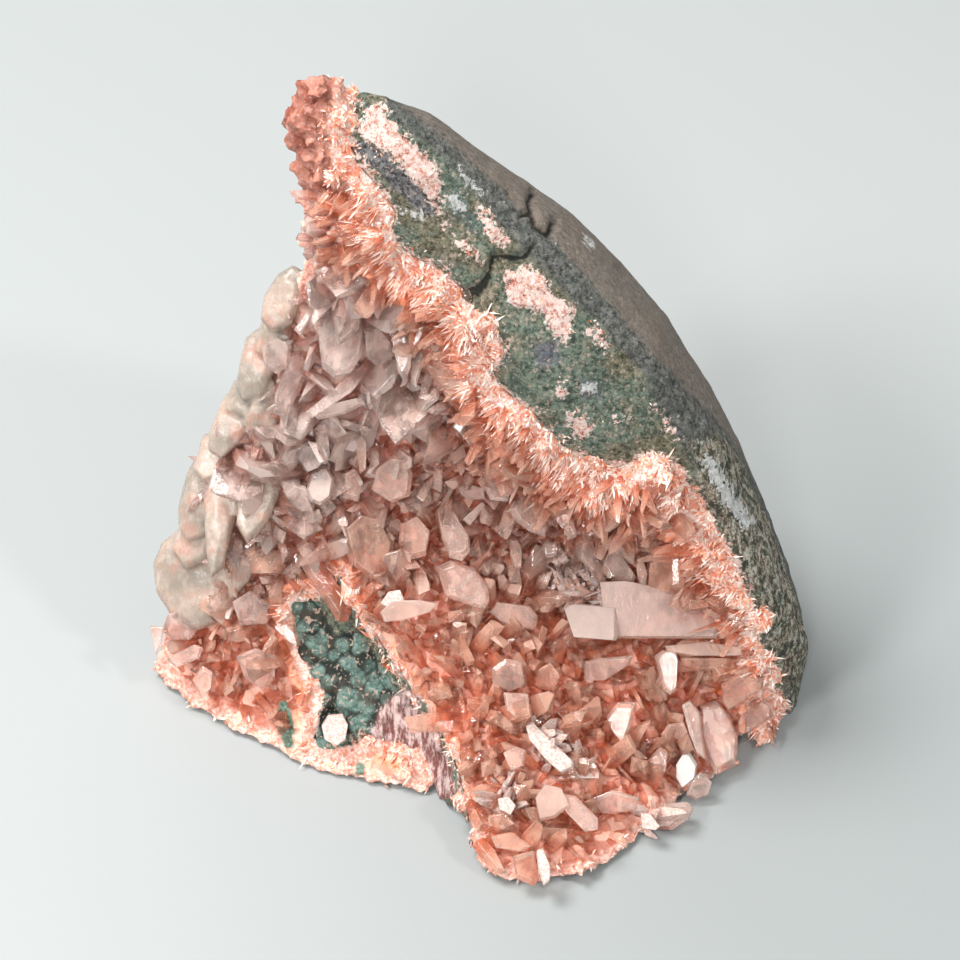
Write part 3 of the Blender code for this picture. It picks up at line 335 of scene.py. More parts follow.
    ([(1.6, -53.4), (4.8, -52.8), (7.7, -54.9), (6.6, -55.8), (2.4, -55.2)], 2.8, 1.6, (0.0, -0.3), 0.6, 0.6),
    ([(1.2, -50.3), (3.6, -49.8), (5.4, -51.6), (3.6, -52.5), (1.2, -51.9)], 2.6, 1.8, (0.1, 0.2), 0.8, 0.3),
    # The lower left, around the green pocket.
    ([(-49.5, -21.9), (-47.4, -21.9), (-47.7, -24), (-48.6, -26.4)], 2.6, 1.6, (0.1, 0.1), 0.1, 0.7),
    ([(-47.3, -22.2), (-46.5, -20.1), (-45, -19.8), (-41.7, -21.8), (-43.5, -24), (-46.2, -24)],
     2.6, 2.4, (0.0, 0.3), 0.05, 0.15),
    ([(-47.1, -27), (-42.6, -24.6), (-41.4, -25.2), (-42, -26.7), (-45.6, -28.2)], 3.2, 1.8, (0.1, -0.3), 0.2, 0.55),
    ([(-43.2, -30), (-41.6, -27.8), (-40.1, -28.8), (-40.2, -31.2), (-41.7, -32.7)], 3.0, 1.8, (0.3, 0.0), 0.3, 0.5),
    ([(-36.6, -26.4), (-33.8, -25.2), (-30.8, -26.4), (-30.8, -30), (-32.7, -31.5), (-35.3, -29.7)],
     3.4, 2.2, (-0.2, 0.2), 0.15, 0.45),
    ([(-37.2, -18.3), (-34.5, -16.5), (-31.5, -18.6), (-32.4, -21.6), (-36, -21.9)], 3.0, 2.4, (0.2, 0.2), 0.05, 0.35),
    ([(-35.2, -10.8), (-31.8, -9.3), (-28.8, -11.1), (-30, -14.1), (-34.2, -14.1)], 2.6, 2.8, (0.1, -0.2), 0.9, 0.25),
    ([(-27.5, -12), (-25.5, -10.2), (-23.3, -13.5), (-19.2, -19.5), (-19.8, -21.3), (-21.3, -21.3),
      (-24.3, -17.1)], 2.4, 1.8, (-0.3, -0.1), 0.35, 0.5),
]
# Where white, frosty splinters crowd together.
FROSTY_CLUSTERS = [
    [(10.4, -17.5), (11.2, -14), (13.6, -11.8), (16.4, -12.6), (18.8, -15.4), (18.6, -18.6), (13.4, -19.2)],
    [(6.4, -37.4), (8.2, -36), (14.8, -42), (13.6, -44.6), (9.8, -43), (7, -39.6)],
    [(-28.4, 11.8), (-26, 11.8), (-26.2, 9.4), (-28.2, 9.6)],
    [(-17, 13.8), (-15.6, 13.8), (-15.4, 9.4), (-16.8, 9.4)],
    [(-23, 29), (-20, 29.4), (-20, 27), (-23, 27)],
    [(2.4, -45), (4.6, -45.2), (6, -49.6), (3.6, -50.4), (1.8, -48)],
    [(24, -49.2), (26, -49.6), (27, -52), (25.6, -53), (24, -52.2)],
    [(-8.6, 11.6), (-6.4, 12.8), (-5, 10.4), (-7.4, 9.4)],
    [(9, -11), (11.6, -10), (13, -12.6), (10.4, -13.4)],
    [(-42.4, 6.6), (-40.6, 8.4), (-37.8, 6.8), (-39.6, 3.8)],
]


def place(u, v, depth):
    """The point of the frame, in metres, that is seen at (u, v) on the drawing plane."""
    shrink = 1 - depth / VIEWER_DISTANCE
    return Vector((PLANE_CENTRE + (RIGHT * u + UP * v) * shrink + NEAR * depth) * MM)


def drawn(points):
    """The places on the drawing plane and the depths at which the frame's points are seen."""
    away = np.asarray(points, float) / MM - PLANE_CENTRE
    depths = away @ NEAR
    shrink = 1 - depths / VIEWER_DISTANCE
    return np.column_stack([away @ RIGHT / shrink, away @ UP / shrink]), depths


def inside_by(places, outline):
    """How far each place lies inside an outline, in millimetres; less than 0 is outside."""
    corners = np.array(outline, float)
    u, v = places.T
    crossings = np.zeros(len(u), int)
    nearest = np.full(len(u), np.inf)
    for start, end in zip(corners, np.roll(corners, -1, axis=0)):
        side = end - start
        spans = (start[1] > v) != (end[1] > v)
        slope = side[0] / side[1] if side[1] else 0.0
        crossings += spans & (u < start[0] + (v - start[1]) * slope)
        nearest = np.minimum(nearest, distance_from_side(places, start, side))
    return np.where(crossings % 2 == 1, nearest, -nearest)


def distance_from_side(places, start, side):
    along = np.clip((places - start) @ side / max(side @ side, 1e-9), 0, 1)
    return np.linalg.norm(places - start - along[:, None] * side, axis=1)


def distance_from_line(places, line):
    """The distance of each place from an open line, in millimetres."""
    line = np.array(line, float)
    sides = [distance_from_side(places, start, end - start) for start, end in zip(line, line[1:])]
    return np.min(sides, axis=0)


def inside_any(places, outlines):
    return np.max([inside_by(places, outline) for outline in outlines], axis=0)


def step_between(low, high, values):
    """0 below low, 1 above high, and a smooth step between them."""
    share = np.clip((values - low) / (high - low), 0, 1)
    return share * share * (3 - 2 * share)


def points_of(mesh):
    points = np.empty(len(mesh.vertices) * 3, np.float32)
    mesh.vertices.foreach_get("co", points)
    return points.reshape(-1, 3).astype(float)


def normals_of(mesh):
    normals = np.empty(len(mesh.vertices) * 3, np.float32)
    mesh.vertices.foreach_get("normal", normals)
    return normals.reshape(-1, 3).astype(float)


def set_points(mesh, points):
    mesh.vertices.foreach_set("co", points.astype(np.float32).ravel())
    mesh.update()


def set_values(mesh, name, values):
    """Stores one number, or one vector, for each vertex of a mesh."""
    values = np.asarray(values, np.float32)
    if values.ndim == 1:
        mesh.attributes.new(name, "FLOAT", "POINT").data.foreach_set("value", values)
    else:
        mesh.attributes.new(name, "FLOAT_VECTOR", "POINT").data.foreach_set("vector", values.ravel())


def roughness_at(points, size, octaves):
    """Fractal unevenness from about -1 to 1, with its largest bumps of a size in millimetres."""
    scale = 1 / (size * MM)
    return np.array([noise.fractal(Vector(point * scale), 1.0, 2.0, octaves) for point in points])


def new_object(name, mesh):
    obj = bpy.data.objects.new(name, mesh)
    bpy.context.scene.collection.objects.link(obj)
    return obj


def object_from(bm, name):
    """A new object that holds the shape, with its faces turned outwards."""
    bmesh.ops.recalc_face_normals(bm, faces=bm.faces)
    mesh = bpy.data.meshes.new(name)
    bm.to_mesh(mesh)
    bm.free()
    return new_object(name, mesh)


def finished_mesh(obj):
    """Applies the object's modifiers to its mesh, and clears them."""
    graph = bpy.context.evaluated_depsgraph_get()
    mesh = bpy.data.meshes.new_from_object(obj.evaluated_get(graph))
    mesh.name = obj.name
    obj.modifiers.clear()
    obj.data = mesh
    return obj


def remeshed(obj, voxel, rounds=4):
    """Rebuilds the object's surface from cubes of a size in millimetres, then smooths it."""
    modifier = obj.modifiers.new("even_faces", "REMESH")
    modifier.mode = "VOXEL"
    modifier.voxel_size = voxel * MM
    smoothing = obj.modifiers.new("smooth", "SMOOTH")
    smoothing.factor = 0.6
    smoothing.iterations = rounds
    return finished_mesh(obj)


def merged_copy(node, name):
    """A copy of a CAD node with its loose triangles merged."""
    bm = bmesh.new()
    bm.from_mesh(frame["nodes"][node].data)
    bmesh.ops.remove_doubles(bm, verts=bm.verts, dist=0.001 * MM)
    return object_from(bm, name)


def shaded_smooth(obj, degrees=180):
    obj.data.shade_smooth()
    if degrees < 180:
        obj.data.set_sharp_from_angle(angle=math.radians(degrees))


class Value:
    """A socket of a node tree. Sums and products of values add Math nodes."""

    def __init__(self, tree, socket):
        self.tree = tree
        self.socket = socket

    def __add__(self, other):
        return self.tree.math("ADD", self, other)

    def __sub__(self, other):
        return self.tree.math("SUBTRACT", self, other)

    def __rsub__(self, other):
        return self.tree.math("SUBTRACT", other, self)

    def __mul__(self, other):
        return self.tree.math("MULTIPLY", self, other)

    def __truediv__(self, other):
        return self.tree.math("DIVIDE", self, other)

    def __pow__(self, other):
        return self.tree.math("POWER", self, other)

    __radd__ = __add__
    __rmul__ = __mul__

    def step(self, low, high):
        """0 below low, 1 above high, and a smooth step between them."""
        limits = {"Value": self, "From Min": low, "From Max": high}
        return self.tree.node("ShaderNodeMapRange", {"interpolation_type": "SMOOTHSTEP"}, limits)["Result"]


class Node:
    """A node that was added to a tree. Its outputs are read by name."""

    def __init__(self, tree, node):
        self.tree = tree
        self.node = node

    def __getitem__(self, name):
        return Value(self.tree, picked(self.node.outputs, name))


def picked(sockets, name):
    """The socket in use that has this name."""
    return next(s for s in sockets if s.enabled and name in (s.name, s.identifier))


class Tree:
    """Adds nodes to a node tree and links them."""

    def __init__(self, tree):
        self.tree = tree

    def node(self, kind, settings=None, values=None):
        """A node with its settings made first, then the numbers or links of its sockets."""
        node = self.tree.nodes.new(kind)
        for name, value in (settings or {}).items():
            setattr(node, name, value)
        for name, value in (values or {}).items():
            self.feed(picked(node.inputs, name), value)
        return Node(self, node)

    def feed(self, socket, value):
        if isinstance(value, Value):
            self.tree.links.new(value.socket, socket)
        else:
            socket.default_value = value

    def math(self, operation, first, second):
        node = self.tree.nodes.new("ShaderNodeMath")
        node.operation = operation
        self.feed(node.inputs[0], first)
        self.feed(node.inputs[1], second)
        return Value(self, node.outputs[0])

    def vector_math(self, operation, first, second, output="Vector"):
        node = self.tree.nodes.new("ShaderNodeVectorMath")
        node.operation = operation
        self.feed(node.inputs[0], first)
        self.feed(picked(node.inputs, "Scale") if operation == "SCALE" else node.inputs[1], second)
        return Node(self, node)[output]


class Finish(Tree):
    """A material. The plain numbers of its shader are given by name."""

    def __init__(self, name, **plain):
        self.material = bpy.data.materials.new(name)
        self.material.use_nodes = True
        super().__init__(self.material.node_tree)
        self.shader = self.tree.nodes["Principled BSDF"]
        for socket, value in plain.items():
            self.set(socket.replace("_", " "), value)

    def set(self, name, value):
        self.feed(picked(self.shader.inputs, name), value)

    def blend(self, share, other):
        """Mixes another shader into the material."""
        both = self.node("ShaderNodeMixShader", None, {"Fac": share})
        self.tree.links.new(self.shader.outputs["BSDF"], both.node.inputs[1])
        self.tree.links.new(other.socket, both.node.inputs[2])
        self.tree.links.new(both.node.outputs[0], self.tree.nodes["Material Output"].inputs["Surface"])

    def spot(self):
        """The place on the piece, in metres."""
        return self.node("ShaderNodeTexCoord")["Object"]

    def attribute(self, name, output="Fac"):
        return self.node("ShaderNodeAttribute", {"attribute_name": name})[output]

    def grain(self, vector, size, detail=3.0, roughness=0.6, distortion=0.0):
        """Noise from 0 to 1 with spots of a size in millimetres."""
        values = {"Vector": vector, "Scale": 1 / (size * MM), "Detail": detail, "Roughness": roughness}
        values["Distortion"] = distortion
        return self.node("ShaderNodeTexNoise", None, values)["Fac"]

    def cells(self, vector, size, feature="F1", output="Distance"):
        """Voronoi cells of a size in millimetres."""
        values = {"Vector": vector, "Scale": 1 / (size * MM)}
        return self.node("ShaderNodeTexVoronoi", {"feature": feature}, values)[output]

    def mix(self, share, low, high, blend="MIX"):
        """A colour that goes from low to high."""
        values = {"Factor_Float": share, "A_Color": low, "B_Color": high}
        settings = {"data_type": "RGBA", "blend_type": blend, "clamp_factor": True}
        return self.node("ShaderNodeMix", settings, values)["Result_Color"]

    def bump(self, height, depth, under=None):
        """A normal bent by a height from 0 to 1 that stands for a depth in millimetres."""
        values = {"Height": height, "Distance": depth * MM, "Strength": 1.0}
        if under is not None:
            values["Normal"] = under
        return self.node("ShaderNodeBump", None, values)["Normal"]


def colour(red, green, blue):
    """A linear colour from the usual 0 to 255 numbers."""
    shares = [part / 255 for part in (red, green, blue)]
    return (*[s / 12.92 if s <= 0.04045 else ((s + 0.055) / 1.055) ** 2.4 for s in shares], 1.0)


def rock_finish():
    """Weathered brown skin, speckled bevel, dark green celadonite face, and pink sparkling patches."""
    finish = Finish("weathered_basalt")
    spot = finish.spot()
    fine = finish.grain(spot, 0.8, 7, 0.85)
    mottle = finish.grain(spot, 2.4, 6, 0.75)
    broad = finish.grain(spot, 8.0, 4, 0.65)
    wobble = (mottle - 0.5) * 3.6 + (fine - 0.5) * 3.0

    skin = finish.mix(fine.step(0.3, 0.72), colour(98, 88, 78), colour(186, 172, 158))
    skin = finish.mix(broad.step(0.4, 0.7) * 0.5, skin, colour(146, 126, 108))
    skin = finish.mix(mottle.step(0.55, 0.72) * 0.4, skin, colour(100, 102, 98))
    specks = finish.grain(spot, 0.9, 3, 0.6).step(0.66, 0.72)
    skin = finish.mix(specks * 0.8, skin, colour(206, 198, 186))
    pits = finish.cells(spot, 4.5).step(0.16, 0.1)
    skin = finish.mix(pits * broad.step(0.5, 0.6) * 0.8, skin, colour(62, 64, 56))
    skin = finish.mix(finish.grain(spot, 14.0, 3, 0.6).step(0.52, 0.66) * 0.35, skin, colour(150, 140, 122))

    bevel = finish.mix(fine.step(0.38, 0.62), colour(40, 43, 42), colour(156, 154, 146))
    bevel = finish.mix(mottle.step(0.45, 0.65) * 0.5, bevel, colour(84, 96, 86))
    bevel = finish.mix(specks, bevel, colour(214, 212, 204))

    olive = finish.mix(fine.step(0.38, 0.62), colour(66, 64, 44), colour(170, 162, 134))
    green = finish.mix(fine.step(0.38, 0.62), colour(54, 72, 58), colour(158, 172, 152))
    face = finish.mix((broad + (mottle - 0.5) * 0.4).step(0.44, 0.58), green, olive)
    face = finish.mix(mottle.step(0.54, 0.66) * 0.6, face, colour(176, 172, 156))
    face = finish.mix(mottle.step(0.44, 0.36) * 0.6, face, colour(40, 52, 44))
    face = finish.mix(fine.step(0.4, 0.34) * 0.8, face, colour(30, 34, 30))
    teal = finish.mix(fine.step(0.3, 0.7), colour(30, 56, 56), colour(120, 150, 148))
    face = finish.mix((finish.attribute("teal") + wobble).step(-0.2, 1.6) * 0.7, face, teal)
    violet = finish.mix(fine.step(0.35, 0.65), colour(62, 62, 72), colour(150, 148, 162))
    face = finish.mix((finish.attribute("violet") + wobble).step(-0.6, 1.0) * 0.8, face, violet)
    grey = finish.mix(fine.step(0.42, 0.58), colour(56, 55, 56), colour(158, 155, 156))
    face = finish.mix((finish.attribute("lens") + wobble * 0.5).step(-0.3, 0.3), face, grey)
    # Pale dots on the face and in the green pocket: painted glints.
    painted_glint_dots = (finish.grain(spot, 0.6, 2, 0.5) + (mottle - 0.5) * 0.5).step(0.6, 0.7)
    face = finish.mix(painted_glint_dots * 0.7, face, colour(222, 196, 176))

    bare = finish.mix((finish.attribute("bevel") + wobble * 0.7).step(-0.7, 0.7), face, bevel)
    bare = finish.mix((finish.attribute("skin") + wobble * 0.4).step(-0.5, 0.5), bare, skin)

    streak = finish.grain(finish.vector_math("MULTIPLY", spot, (1.0, 1.0, 0.55)), 0.9, 5, 0.85)
    blotch = finish.grain(spot, 2.6, 5, 0.8)
    streaky = finish.mix(blotch.step(0.44, 0.54), colour(110, 116, 94), colour(166, 150, 128))
    streaky = finish.mix(streak.step(0.49, 0.45) * 0.9, streaky, colour(46, 46, 40))
    streaky = finish.mix(streak.step(0.53, 0.57) * 0.85, streaky, colour(232, 226, 212))
    streaky = finish.mix(blotch.step(0.58, 0.64) * 0.6, streaky, colour(84, 96, 66))
    bare = finish.mix((finish.attribute("streaky") + wobble * 0.8).step(-0.8, 1.2), bare, streaky)

    bare = finish.mix(1.0, bare, (0.8, 0.8, 0.8, 1.0), "MULTIPLY")
    pink = finish.mix(fine.step(0.4, 0.54), colour(210, 122, 92), colour(255, 232, 222))
    pink = finish.mix(fine.step(0.42, 0.36), pink, colour(140, 62, 42))
    crumbs = finish.grain(spot, 0.9, 3, 0.8)
    near_crust = (finish.attribute("rim") - (crumbs - 0.5) * 6.0 - (mottle - 0.5) * 5.0).step(1.3, 0.6)
    bare = finish.mix(near_crust * (1 - finish.attribute("skin").step(-1.0, 0.5)), bare, pink)
    patch = (finish.attribute("sparkling") + wobble * 0.9 + (crumbs - 0.5) * 5.0).step(0.0, 0.5)
    bare = finish.mix(patch, bare, pink)
    marks = (finish.attribute("marks") + (crumbs - 0.5) * 4.0 + (streak - 0.5) * 5.0).step(0.0, 0.2)
    bare = finish.mix(marks, bare, finish.mix(fine.step(0.4, 0.6), colour(176, 178, 174), colour(240, 238, 234)))
    # The cracks are painted near black: painted shade inside them, over a shallow groove.
    crack = (finish.attribute("crack") + (mottle - 0.5) * 1.0).step(0.1, 0.4)
    bare = finish.mix((1 - crack) * 0.9, bare, colour(24, 26, 22))

    lumps = finish.cells(spot, 2.2)
    jade = finish.mix(fine.step(0.35, 0.65), colour(62, 96, 88), colour(154, 184, 172))
    jade = finish.mix(lumps.step(0.4, 0.7), jade, colour(34, 42, 36))
    jade = finish.mix(broad.step(0.5, 0.62) * 0.8, jade, colour(84, 78, 66))
    jade = finish.mix(painted_glint_dots * 0.8, jade, colour(220, 190, 170))
    pocket = (finish.attribute("pocket") + wobble * 0.35).step(-0.3, 0.3)
    bare = finish.mix(pocket, bare, jade)
    strands = finish.grain(finish.vector_math("MULTIPLY", spot, (1.0, 0.3, 0.3)), 0.8, 4, 0.7)
    mauve = finish.mix(strands.step(0.4, 0.6), colour(140, 84, 76), colour(246, 214, 208))
    mauve = finish.mix(mottle.step(0.56, 0.64) * 0.7, mauve, colour(88, 74, 66))
    shelf = (finish.attribute("shelf") + wobble * 0.6 + (crumbs - 0.5) * 2.0).step(-0.2, 0.3)
    bare = finish.mix(shelf, bare, mauve)

    finish.set("Base Color", bare)
    finish.set("Roughness", 0.9 - fine.step(0.5, 0.8) * 0.4 - pocket * 0.2 - patch * 0.25)
    finish.set("Normal", finish.bump(fine * 1.2 + mottle * 0.6, 0.6))
    return finish.material


def bed_finish():
    """The crust: white sparkling grains beside the rock, then glassy orange, deep orange between crystals."""
    finish = Finish("orange_crust", Subsurface_Weight=0.35, Subsurface_Scale=1.5 * MM)
    finish.set("Subsurface Radius", (1.0, 0.35, 0.18))
    spot = finish.spot()
    fine = finish.grain(spot, 0.5, 5, 0.75)
    mottle = finish.grain(spot, 2.6, 4, 0.65)
    rim = finish.attribute("rim")
    cells = finish.node("ShaderNodeTexVoronoi", None, {"Vector": spot, "Scale": 1 / (1.8 * MM)})
    mosaic = (cells["Color"] + (fine - 0.5) * 0.6).step(0.2, 0.8)
    deep = finish.mix(mosaic, colour(178, 92, 66), colour(230, 174, 154))
    deep = finish.mix(mottle.step(0.4, 0.3), deep, colour(150, 66, 40))
    cold = finish.mix(mosaic, colour(146, 110, 102), colour(214, 184, 172))
    deep = finish.mix(finish.attribute("cool").step(0.2, 0.7) * 0.9, deep, cold)
    glassy = finish.mix(mottle.step(0.3, 0.7), colour(238, 132, 88), colour(250, 188, 164))
    shade = finish.mix((rim + (mottle - 0.5) * 3.0).step(9.5, 6.0), deep, glassy)
    sugar = finish.mix((fine + (mottle - 0.5) * 0.6).step(0.4, 0.58), colour(228, 136, 104), colour(250, 226, 214))
    sugary = (rim * 0.8 + (mottle - 0.5) * 12.0 + (fine - 0.5) * 6.0).step(3.8, 2.6)
    shade = finish.mix(sugary, shade, sugar)
    outer = (finish.attribute("outer") + (mottle - 0.5) * 5.0).step(4.0, 2.0)
    blush = finish.mix(fine.step(0.4, 0.6), colour(222, 140, 116), colour(250, 218, 204))
    shade = finish.mix(outer * 0.85, shade, blush)
    rose = finish.mix(mosaic * 0.5 + mottle.step(0.38, 0.62) * 0.5, colour(134, 66, 48), colour(206, 144, 124))
    # The pale specks on the tip are painted highlights.
    rose = finish.mix(fine.step(0.6, 0.66) * 0.5, rose, colour(252, 224, 212))
    shade = finish.mix(finish.attribute("tip"), shade, rose)
    moss = finish.mix(fine.step(0.35, 0.65), colour(50, 74, 60), colour(124, 148, 128))
    shade = finish.mix((finish.attribute("jade") + (fine - 0.5) * 2.0).step(-0.1, 0.2), shade, moss)
    finish.set("Base Color", shade)
    finish.set("Roughness", 0.28 - fine.step(0.5, 0.75) * 0.2 - finish.attribute("tip") * 0.1)
    relief = fine * (sugary * 0.8 + 0.3) + mottle * 0.4 + cells["Distance"] * (1 - sugary) * 1.6
    finish.set("Normal", finish.bump(relief, 0.4))
    return finish.material


def crystal_finish():
    """Clear crystal with soft milky clouds, orange at the root and pink to grey at the tip."""
    finish = Finish("clear_crystal", Transmission_Weight=1.0, IOR=1.47)
    spot = finish.spot()
    cloud = finish.grain(finish.vector_math("MULTIPLY", spot, (1.0, 0.7, 0.6)), 2.0, 3, 0.55)
    fine = finish.grain(spot, 0.4, 4, 0.7)
    frost = finish.attribute("tint")
    along = (finish.attribute("along") + (cloud - 0.5) * 0.35).step(0.0, 0.8)
    cool = finish.mix(along, colour(222, 150, 130), colour(250, 228, 218))
    hot = finish.mix(along, colour(240, 136, 94), colour(253, 201, 174))
    warm = (finish.attribute("warm") + (cloud - 0.5) * 0.6).step(0.0, 1.0)
    body = finish.mix(warm, cool, hot)
    # Frost near 1 whitens the milky part. On the glint facets and the bright faces listed with them this white is a
    # painted glint; on the other crystals it is their milky look.
    white = (frost * 1.1 + (cloud - 0.5) * 0.25).step(0.82, 1.1)
    # The pale edge lines are partly the crystals' own pale edges and partly painted highlights along them.
    edge = finish.attribute("edge") * (cloud + (fine - 0.5) * 0.5).step(0.4, 0.6)
    crumbly = frost.step(0.87, 0.9) * frost.step(0.99, 0.96)
    milk = finish.mix(white + edge * 0.5, body, colour(200, 188, 182))
    milk = finish.mix(crumbly * fine.step(0.52, 0.44) * 0.8, milk, colour(204, 152, 136))

    grooves = finish.grain(finish.vector_math("MULTIPLY", spot, (1.0, 1.0, 0.35)), 0.5, 3, 0.6)
    relief = finish.bump(grooves + fine * (crumbly * 4.0 + 0.4), 0.05)
    finish.set("Base Color", finish.mix(0.42, body, colour(255, 251, 249)))
    finish.set("Roughness", 0.02 + cloud.step(0.5, 0.7) * 0.12)
    finish.set("Normal", relief)
    milky = finish.node("ShaderNodeBsdfPrincipled", None, {
        "Base Color": milk, "Roughness": 0.15 + fine.step(0.4, 0.7) * 0.25, "IOR": 1.5, "Normal": relief})
    share = 0.14 + cloud.step(0.42, 0.62) * (1 - frost) * 0.24 + frost ** 3 * 0.5 + edge * 0.2 + crumbly * 0.4
    finish.blend(share, milky["BSDF"])
    return finish.material


def fibre_finish():
    """Silky fibres of the rim: orange at the root, white at the sparkling tip, that white partly their own colour and
    partly painted highlight; a few of them rust red.
    """
    finish = Finish("silky_fibres", Roughness=0.22)
    tint = finish.attribute("tint")
    mottle = finish.grain(finish.spot(), 1.8, 4, 0.7)
    # The white towards the tips is partly painted highlight.
    white = (finish.attribute("along") * 0.4 + tint * 0.5 + (mottle - 0.5) * 2.4).step(0.12, 0.54)
    shade = finish.mix(white, colour(240, 160, 124), colour(254, 234, 222))
    finish.set("Base Color", finish.mix(tint.step(0.14, 0.08) * 0.7, shade, colour(170, 84, 60)))
    return finish.material


def cream_finish():
    """Pearly, slightly see-through blades: beige grey with a pink glow and fine growth lines."""
    finish = Finish("cream_stilbite", Transmission_Weight=0.3, IOR=1.5)
    finish.set("Subsurface Weight", 0.4)
    finish.set("Subsurface Scale", 2.0 * MM)
    finish.set("Subsurface Radius", (1.0, 0.6, 0.4))
    spot = finish.spot()
    cloud = finish.grain(spot, 7.0, 3, 0.5)
    fine = finish.grain(finish.vector_math("MULTIPLY", spot, (1.0, 1.0, 0.25)), 0.8, 4, 0.6)
    shade = finish.mix(cloud.step(0.35, 0.65), colour(168, 156, 143), colour(204, 182, 166))
    pink = finish.grain(spot, 5.0, 3, 0.6).step(0.5, 0.68)
    shade = finish.mix(pink * 0.6, shade, colour(206, 152, 134))
    finish.set("Base Color", finish.mix(fine.step(0.5, 0.7) * 0.35, shade, colour(236, 220, 208)))
    finish.set("Roughness", 0.24 + fine.step(0.4, 0.7) * 0.2)
    finish.set("Normal", finish.bump(fine, 0.1))
    return finish.material


def floor_finish():
    finish = Finish("pale_floor", Roughness=0.7, Specular_IOR_Level=0.2)
    # The floor is darker around a spot to the right of the specimen: a painted shadow.
    away = finish.vector_math("DISTANCE", finish.spot(), (0.08, -0.03, 0.0), "Value")
    finish.set("Base Color", finish.mix(away.step(0.16, 0.03), colour(165, 168, 167), colour(146, 150, 149)))
    return finish.material


class Ground:
    """The surface of the crust without its crystals, as depths over a grid on the drawing plane."""

    def __init__(self):
        self.viewer = Vector((PLANE_CENTRE + NEAR * VIEWER_DISTANCE) * MM)
        crust = surface_of(["crystal_crust"])
        rock = surface_of(["basalt_matrix", "crystal_crust", "cream_blades"])
        self.us = np.arange(-56, 56, GRID_STEP)
        self.vs = np.arange(-70, 68, GRID_STEP)
        size = (len(self.us), len(self.vs))
        self.top = np.full(size, np.nan)
        self.under = np.full(size, np.nan)
        self.rock_top = np.full(size, np.nan)
        bare, crusted, empty = [], [], []
        rock_faces = len(frame["nodes"]["basalt_matrix"].data.polygons)
        for i, u in enumerate(self.us):
            for j, v in enumerate(self.vs):
                front = self.seen(rock, u, v)
                if front is None:
                    empty.append((u, v, 0))
                    continue
                if front[1] < rock_faces:
                    bare.append((u, v, 0))
                    self.rock_top[i, j] = drawn([front[0]])[1][0]
                under = self.seen(crust, u, v, from_behind=True)
                if under is None:
                    continue
                depth = drawn([under[0]])[1][0]
                top = drawn([self.seen(crust, u, v)[0]])[1][0]
                if top - depth > CRUST_THICKNESS + CRUST_BUMPS:
                    top = depth + CRUST_THICKNESS
                if under[0].z > (FOOT + 0.3) * MM:
                    top = max(top, depth + CRUST_THICKNESS - SOCKET_DEPTH)
                self.top[i, j] = top
                self.under[i, j] = depth
                crusted.append((u, v, 0))
        self.there = ~np.isnan(self.top)
        for lap in (0.45, 0.15):
            beside = around(self.there.astype(float)) > 0
            lapping = beside & ~self.there & ~np.isnan(self.rock_top)
            self.top[lapping] = self.rock_top[lapping] + lap
            self.under[lapping] = self.rock_top[lapping] - 1.5
            self.there |= lapping
        self.filled = smoothed(self.top, 4)
        self.bare = tree_of(bare)
        self.crusted = tree_of(crusted)
        self.empty = tree_of(empty)

    def seen(self, surface, u, v, from_behind=False):
        """The point and face that the line of sight through a place meets first, or None."""
        direction = (place(u, v, 0) - self.viewer).normalized()
        start = self.viewer
        if from_behind:
            start = self.viewer + direction * 2 * VIEWER_DISTANCE * MM
            direction = -direction
        point, _, face, _ = surface.ray_cast(start, direction)
        return None if point is None else (point, face)

    def depth(self, places):
        """The crust's depth at places on the drawing plane, also a little beyond its edge."""
        places = np.atleast_2d(np.asarray(places, float))
        i = np.clip((places[:, 0] - self.us[0]) / GRID_STEP, 0, len(self.us) - 1.001)
        j = np.clip((places[:, 1] - self.vs[0]) / GRID_STEP, 0, len(self.vs) - 1.001)
        i0, j0 = i.astype(int), j.astype(int)
        a, b = i - i0, j - j0
        near = self.filled[i0, j0] * (1 - b) + self.filled[i0, j0 + 1] * b
        far = self.filled[i0 + 1, j0] * (1 - b) + self.filled[i0 + 1, j0 + 1] * b
        return near * (1 - a) + far * a

    def distance_to(self, tree, places):
        """The distance of each place from the nearest place in a tree, in millimetres."""
        return np.array([tree.find((u, v, 0))[2] for u, v in places])

    def from_rock(self, places):
        """For each place, the distance to bare rock and the way that leads from the rock to it.

        The rim is narrower around the green pocket, so distances from there count for more.
        """
        found = [self.bare.find((u, v, 0)) for u, v in places]
        away = np.array([(u - spot.x, v - spot.y) for (u, v), (spot, _, _) in zip(places, found)])
        distances = np.array([distance for _, _, distance in found])
        spots = np.array([(spot.x, spot.y) for spot, _, _ in found])
        by_pocket = (spots[:, 0] < 0) & (spots[:, 1] < -8)
        to_its_right = spots[:, 1] > -24 - 1.42 * (spots[:, 0] + 21)
        beside = np.where(spots[:, 1] < -38, 2.0, 3.0)
        share = np.where(by_pocket, np.where(to_its_right, 5.0, beside), 1.0)
        return distances * share, away / np.maximum(distances, 1e-6)[:, None]


def tree_of(places):
    """A tree that finds the nearest of the places."""
    tree = KDTree(len(places))
    for k, spot in enumerate(places):
        tree.insert(spot, k)
    tree.balance()
    return tree


def surface_of(nodes):
    """One surface for rays, of several CAD nodes."""
    corners, faces = [], []
    for node in nodes:
        mesh = frame["nodes"][node].data
        first = len(corners)
        corners += [vert.co.copy() for vert in mesh.vertices]
        faces += [[first + k for k in face.vertices] for face in mesh.polygons]
    return BVHTree.FromPolygons(corners, faces)


